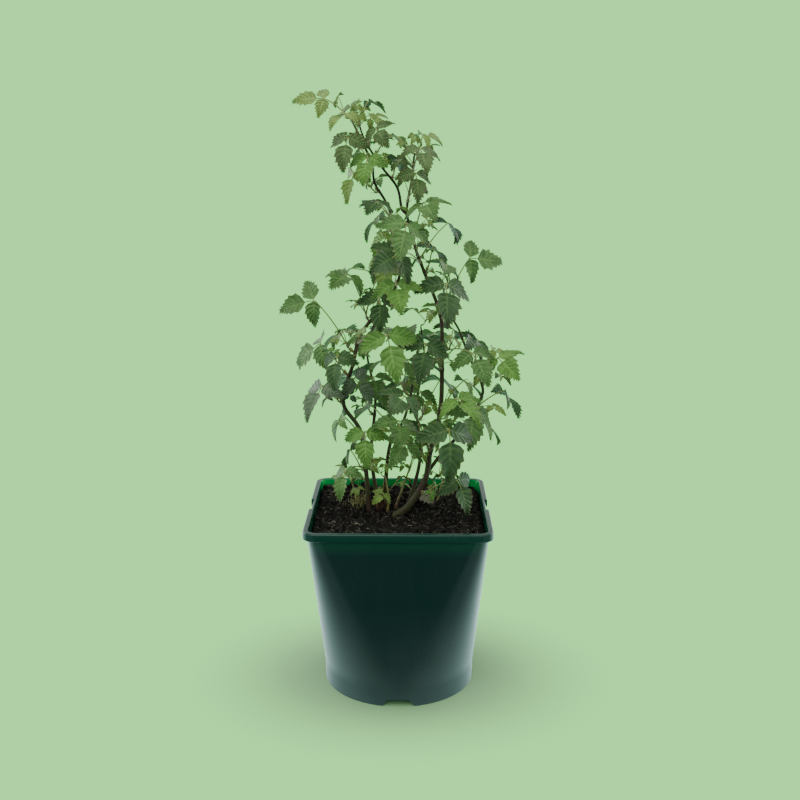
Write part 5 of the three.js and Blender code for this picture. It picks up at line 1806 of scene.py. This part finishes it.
class BRAMBLE_OT_soil(bpy.types.Operator):
    """Fill the pot with soil, and scatter crumbs, fibres, moss and a withered leaf on it."""

    bl_idname = "bramble.soil"
    bl_label = "Soil"

    def execute(self, context):
        """The filling replaces the CAD's; what lies on it has its own pieces."""
        looks = context.scene.bramble_soil
        soil = make_piece("soil_bed", soil_part(looks.seed), [soil_finish(looks)])
        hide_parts("soil")
        crumb = scatter_finish("soil_crumbs", looks.damp, looks.fleck, 0.9)
        straw = scatter_finish("soil_straw", looks.straw_dark, looks.straw, 0.7)
        moss = scatter_finish("moss", looks.moss_dark, looks.moss, 0.7)
        for name, part, finish in (
            ("soil_crumbs", crumbs_part(looks.crumbs, looks.seed), crumb),
            ("soil_fibres", fibres_part(looks.fibres, looks.seed), straw),
            ("moss", moss_part(looks.seed), moss),
        ):
            make_piece(name, part, [finish])
        leaves = context.scene.bramble_leaves
        withered = make_blades("withered_leaf", "withered", [fallen_leaf(looks.seed)], leaves.teeth,
                               leaves, WITHERED_SHADE, np.random.default_rng(looks.seed))
        return {"FINISHED"}


class BRAMBLE_OT_crown(bpy.types.Operator):
    """Carve the woody crown that the stems rise from."""

    bl_idname = "bramble.crown"
    bl_label = "Root crown"

    def execute(self, context):
        """One closed, knobbed surface."""
        part = crown_part(np.random.default_rng(GROWTH_SEED))
        piece = make_piece("crown_wood", part, [crown_finish(context.scene.bramble_wood)])
        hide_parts("root_crown")
        return {"FINISHED"}


class BRAMBLE_OT_stems(bpy.types.Operator):
    """Grow the stems and their bark, one piece for each."""

    bl_idname = "bramble.stems"
    bl_label = "Stems"

    def execute(self, context):
        """Each stem's piece replaces its CAD node."""
        looks = context.scene.bramble_wood
        stems, shoots, _, _ = grown_bush()
        rng = np.random.default_rng(GROWTH_SEED)
        bark = wood_finish("bark", looks)
        for name, stem in stems.items():
            piece = make_piece(f"{name}_bark", stem_part(stem, looks.relief, rng), [bark])
            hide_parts(name)
        part = join([stem_part(shoot, looks.relief, rng) for shoot in shoots.values()])
        make_piece("foot_shoots", part, [stalk_finish("young_bark", looks)])
        return {"FINISHED"}


class BRAMBLE_OT_stalks(bpy.types.Operator):
    """Grow the leaves' twigs and stalks, and the buds and stipules at their roots."""

    bl_idname = "bramble.stalks"
    bl_label = "Stalks"

    def execute(self, context):
        """One piece for the source's leaves, one for the young ones and one for the buds."""
        looks = context.scene.bramble_wood
        _, _, grown, young = grown_bush()
        finish = stalk_finish("leaf_stalk", looks)
        rng = np.random.default_rng(GROWTH_SEED)
        for name, part in (
            ("leaf_stalks", stalk_part(grown, 1.0)),
            ("young_stalks", stalk_part(young, YOUNG_STALK)),
            ("buds", bud_part(grown, rng)),
        ):
            make_piece(name, part, [finish])
        return {"FINISHED"}


class BRAMBLE_OT_leaves(bpy.types.Operator):
    """Grow the leaves that the part's source places, a piece for each tone."""

    bl_idname = "bramble.leaves"
    bl_label = "Leaves"

    def execute(self, context):
        """Each piece replaces the sprays whose leaves it holds."""
        looks = context.scene.bramble_leaves
        _, _, grown, _ = grown_bush()
        rng = np.random.default_rng(GROWTH_SEED)
        for tone in TONES:
            leaves = [leaf for leaf in grown if leaf["spray"]["tone"] == tone]
            piece = make_foliage(f"leaves_{tone}", tone, leaves, looks.teeth, looks, rng)
            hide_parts(*sorted({leaf["spray"]["name"] for leaf in leaves}))
        return {"FINISHED"}


class BRAMBLE_OT_young_leaves(bpy.types.Operator):
    """Grow the small leaves of the finer twigs, the stems' tips and the shoots at the foot."""

    bl_idname = "bramble.young_leaves"
    bl_label = "Young leaves"

    def execute(self, context):
        """One piece for each tone that they have."""
        looks = context.scene.bramble_leaves
        _, _, _, young = grown_bush()
        rng = np.random.default_rng(GROWTH_SEED)
        for tone in TONES:
            leaves = [leaf for leaf in young if YOUNG_TONES[leaf["spray"]["tone"]] == tone]
            if leaves:
                make_foliage(f"young_leaves_{tone}", tone, leaves, YOUNG_TEETH, looks, rng)
        return {"FINISHED"}


# Stage

CAMERA_PLACE = (0.0141, -1.0818, 0.5518)
CAMERA_PITCH = 13.17
CAMERA_YAW = 0.691
SENSOR_WIDTH = 36.0
FLOOR_HALF = 6.0
SOFT_LIGHT = 0.8
# Painted light: colour of the floor's glow, which the pot's corners reflect as sheen
BOUNCE = (0.66, 1.0, 0.93, 1.0)
BACK_SLANT = 0.42
# Painted light: where and how strongly the floor glows beside and behind the pot
BESIDE = (-0.05, 0.05, 0.08, 0.5)
BEHIND = (-0.14, 0.1, 0.0, 1.65)
# Painted shadow: the reach, stretched front to back, of the darker lit floor round the pot
LIT_FLOOR = (0.08, 0.243)
LIT_STRETCH = (1.0, 1.22, 1.0)
LIGHT_AIM = (0.0, 0.0, 0.28)

# Lights: place, width and height, and the setting that holds the power
LIGHTS = {
    "top_light": ((0.0, -0.15, 1.75), (1.5, 1.5), "top_light"),
    "left_light": ((-1.0, 0.7, 0.55), (1.5, 1.1), "side_light"),
    "right_light": ((1.0, 0.7, 0.55), (1.5, 1.1), "side_light"),
    "front_light": ((-0.5, -1.3, 1.3), (1.2, 0.8), "front_light"),
}


def seen_only(tree, seen, unseen):
    """One shader's output for what the camera sees directly, and another's for all else."""
    path = tree.nodes.new("ShaderNodeLightPath")
    mix = tree.nodes.new("ShaderNodeMixShader")
    tree.links.new(path.outputs["Is Camera Ray"], mix.inputs[0])
    tree.links.new(unseen, mix.inputs[1])
    tree.links.new(seen, mix.inputs[2])
    return mix.outputs[0]


def studio_world(looks):
    """Even soft light from all round, in front of which the camera sees the backdrop's colour."""
    world = bpy.data.worlds.new("studio")
    world.use_nodes = True
    tree = world.node_tree
    soft = tree.nodes["Background"]
    soft.inputs[0].default_value = (1.0, 1.0, 1.0, 1.0)
    soft.inputs[1].default_value = SOFT_LIGHT
    backdrop = tree.nodes.new("ShaderNodeBackground")
    backdrop.inputs[0].default_value = tuple(looks.backdrop)
    out = tree.nodes["World Output"]
    tree.links.new(seen_only(tree, backdrop.outputs[0], soft.outputs[0]), out.inputs[0])
    bpy.context.scene.world = world


def floor_finish(looks):
    """A matt floor. Near the pot it is lit and takes the pot's shadow, deepened by a painted shadow: the
    lit floor is darker than the backdrop, so it shows as a soft dark halo round the pot. Further off the
    camera sees the backdrop's even colour. The pot and the leaves see the floor glow bright beside and
    behind the pot, but not in front: painted light, which the pot's corners reflect as sheen."""
    finish = Finish("studio_floor", 1.0, 0.0)
    tree = finish.tree
    finish.shader.inputs["Base Color"].default_value = tuple(looks.floor)
    even = finish.node("ShaderNodeEmission", {0: tuple(looks.backdrop), 1: 1.0})
    place = finish.place()
    # Painted light: for all but the camera the floor glows, brightest beside and behind the pot and dim
    # in front; the pot's corners reflect this glow as sheen
    aside, back = finish.maths("ABSOLUTE", finish.axis(place, "X")), finish.axis(place, "Y")
    beside = finish.maths("ADD", aside, finish.maths("MULTIPLY", back, BACK_SLANT))
    strength = finish.maths("ADD", finish.step(beside, *BESIDE), finish.step(back, *BEHIND))
    bounce = finish.node("ShaderNodeEmission", {0: BOUNCE, 1: strength})
    # Painted shadow: the lit floor is darker than the backdrop, so blending out to the backdrop leaves a
    # soft dark halo round the pot
    stretched = finish.stretched(place, LIT_STRETCH)
    away = finish.node("ShaderNodeVectorMath", {0: stretched}, operation="LENGTH").outputs["Value"]
    near, far = LIT_FLOOR
    share = finish.node("ShaderNodeMapRange", {0: away, 1: near, 2: far},
                        interpolation_type="SMOOTHSTEP")
    blend = finish.node("ShaderNodeMixShader", {0: share.outputs["Result"]})
    tree.links.new(finish.shader.outputs[0], blend.inputs[1])
    tree.links.new(even.outputs[0], blend.inputs[2])
    shader = seen_only(tree, blend.outputs[0], bounce.outputs[0])
    tree.links.new(shader, tree.nodes["Material Output"].inputs[0])
    return finish.material


def studio_floor(looks):
    """The floor, a square far wider than the bush."""
    half = FLOOR_HALF
    mesh = bpy.data.meshes.new("floor")
    corners = [(-half, -half, 0), (half, -half, 0), (half, half, 0), (-half, half, 0)]
    mesh.from_pydata(corners, [], [(0, 1, 2, 3)])
    mesh.materials.append(floor_finish(looks))
    return bpy.data.objects.new("floor", mesh)


def studio_light(name, looks):
    """A rectangular light that aims at the middle of the bush and isn't seen itself."""
    place, (width, height), power = LIGHTS[name]
    light = bpy.data.lights.new(name, "AREA")
    light.shape = "RECTANGLE"
    light.size, light.size_y, light.energy = width, height, getattr(looks, power)
    lamp = bpy.data.objects.new(name, light)
    lamp.location = place
    lamp.visible_camera = False
    aim = mathutils.Vector(LIGHT_AIM) - lamp.location
    lamp.rotation_euler = aim.to_track_quat("-Z", "Y").to_euler()
    return lamp


def studio_camera(looks):
    """The camera, placed and turned to fit the pot's outline."""
    lens = bpy.data.cameras.new("camera")
    lens.lens, lens.sensor_width = looks.lens, SENSOR_WIDTH
    camera = bpy.data.objects.new("camera", lens)
    camera.location = CAMERA_PLACE
    camera.rotation_euler = (math.radians(90.0 - CAMERA_PITCH), 0.0, math.radians(CAMERA_YAW))
    return camera


class BRAMBLE_OT_stage(bpy.types.Operator):
    """Set up floor, backdrop, lights and camera."""

    bl_idname = "bramble.stage"
    bl_label = "Stage"

    def execute(self, context):
        """The world, the floor, the lights and the camera, which becomes the scene's camera."""
        looks = context.scene.bramble_stage
        studio_world(looks)
        things = [studio_floor(looks), *(studio_light(name, looks) for name in LIGHTS)]
        camera = studio_camera(looks)
        for thing in [*things, camera]:
            context.scene.collection.objects.link(thing)
        context.scene.camera = camera
        return {"FINISHED"}


class BRAMBLE_PT_parts(bpy.types.Panel):
    """Lists the bush's pieces, each as a button."""

    bl_idname = "BRAMBLE_PT_parts"
    bl_label = "Bramble"
    bl_space_type = "VIEW_3D"
    bl_region_type = "UI"
    bl_category = "Bramble"

    def draw(self, context):
        """Each group's settings over its buttons."""
        for group, operators in GROUPS.items():
            box = self.layout.box()
            settings = getattr(context.scene, f"bramble_{group}")
            for key in settings.bl_rna.properties.keys():
                if key not in ("rna_type", "name"):
                    box.prop(settings, key)
            for operator in operators:
                box.operator(operator.bl_idname)


SETTINGS = {"pot": BRAMBLE_PG_pot, "soil": BRAMBLE_PG_soil, "wood": BRAMBLE_PG_wood,
            "leaves": BRAMBLE_PG_leaves, "stage": BRAMBLE_PG_stage}
GROUPS = {
    "pot": (BRAMBLE_OT_pot,),
    "soil": (BRAMBLE_OT_soil,),
    "wood": (BRAMBLE_OT_crown, BRAMBLE_OT_stems, BRAMBLE_OT_stalks),
    "leaves": (BRAMBLE_OT_leaves, BRAMBLE_OT_young_leaves),
    "stage": (BRAMBLE_OT_stage,),
}
OPERATORS = [operator for group in GROUPS.values() for operator in group]
CLASSES = (*SETTINGS.values(), *OPERATORS, BRAMBLE_PT_parts)


def register():
    """Register the classes, and the settings on the scene."""
    for each in CLASSES:
        bpy.utils.register_class(each)
    for name, group in SETTINGS.items():
        setattr(bpy.types.Scene, f"bramble_{name}", bpy.props.PointerProperty(type=group))


def unregister():
    """Undo what register did."""
    for name in SETTINGS:
        delattr(bpy.types.Scene, f"bramble_{name}")
    for each in reversed(CLASSES):
        bpy.utils.unregister_class(each)


def main():
    """Make every piece and the stage."""
    register()
    bpy.ops.bramble.pot()
    bpy.ops.bramble.soil()
    bpy.ops.bramble.crown()
    bpy.ops.bramble.stems()
    bpy.ops.bramble.stalks()
    bpy.ops.bramble.leaves()
    bpy.ops.bramble.young_leaves()
    bpy.ops.bramble.stage()


if __name__ == "__main__":
    main()
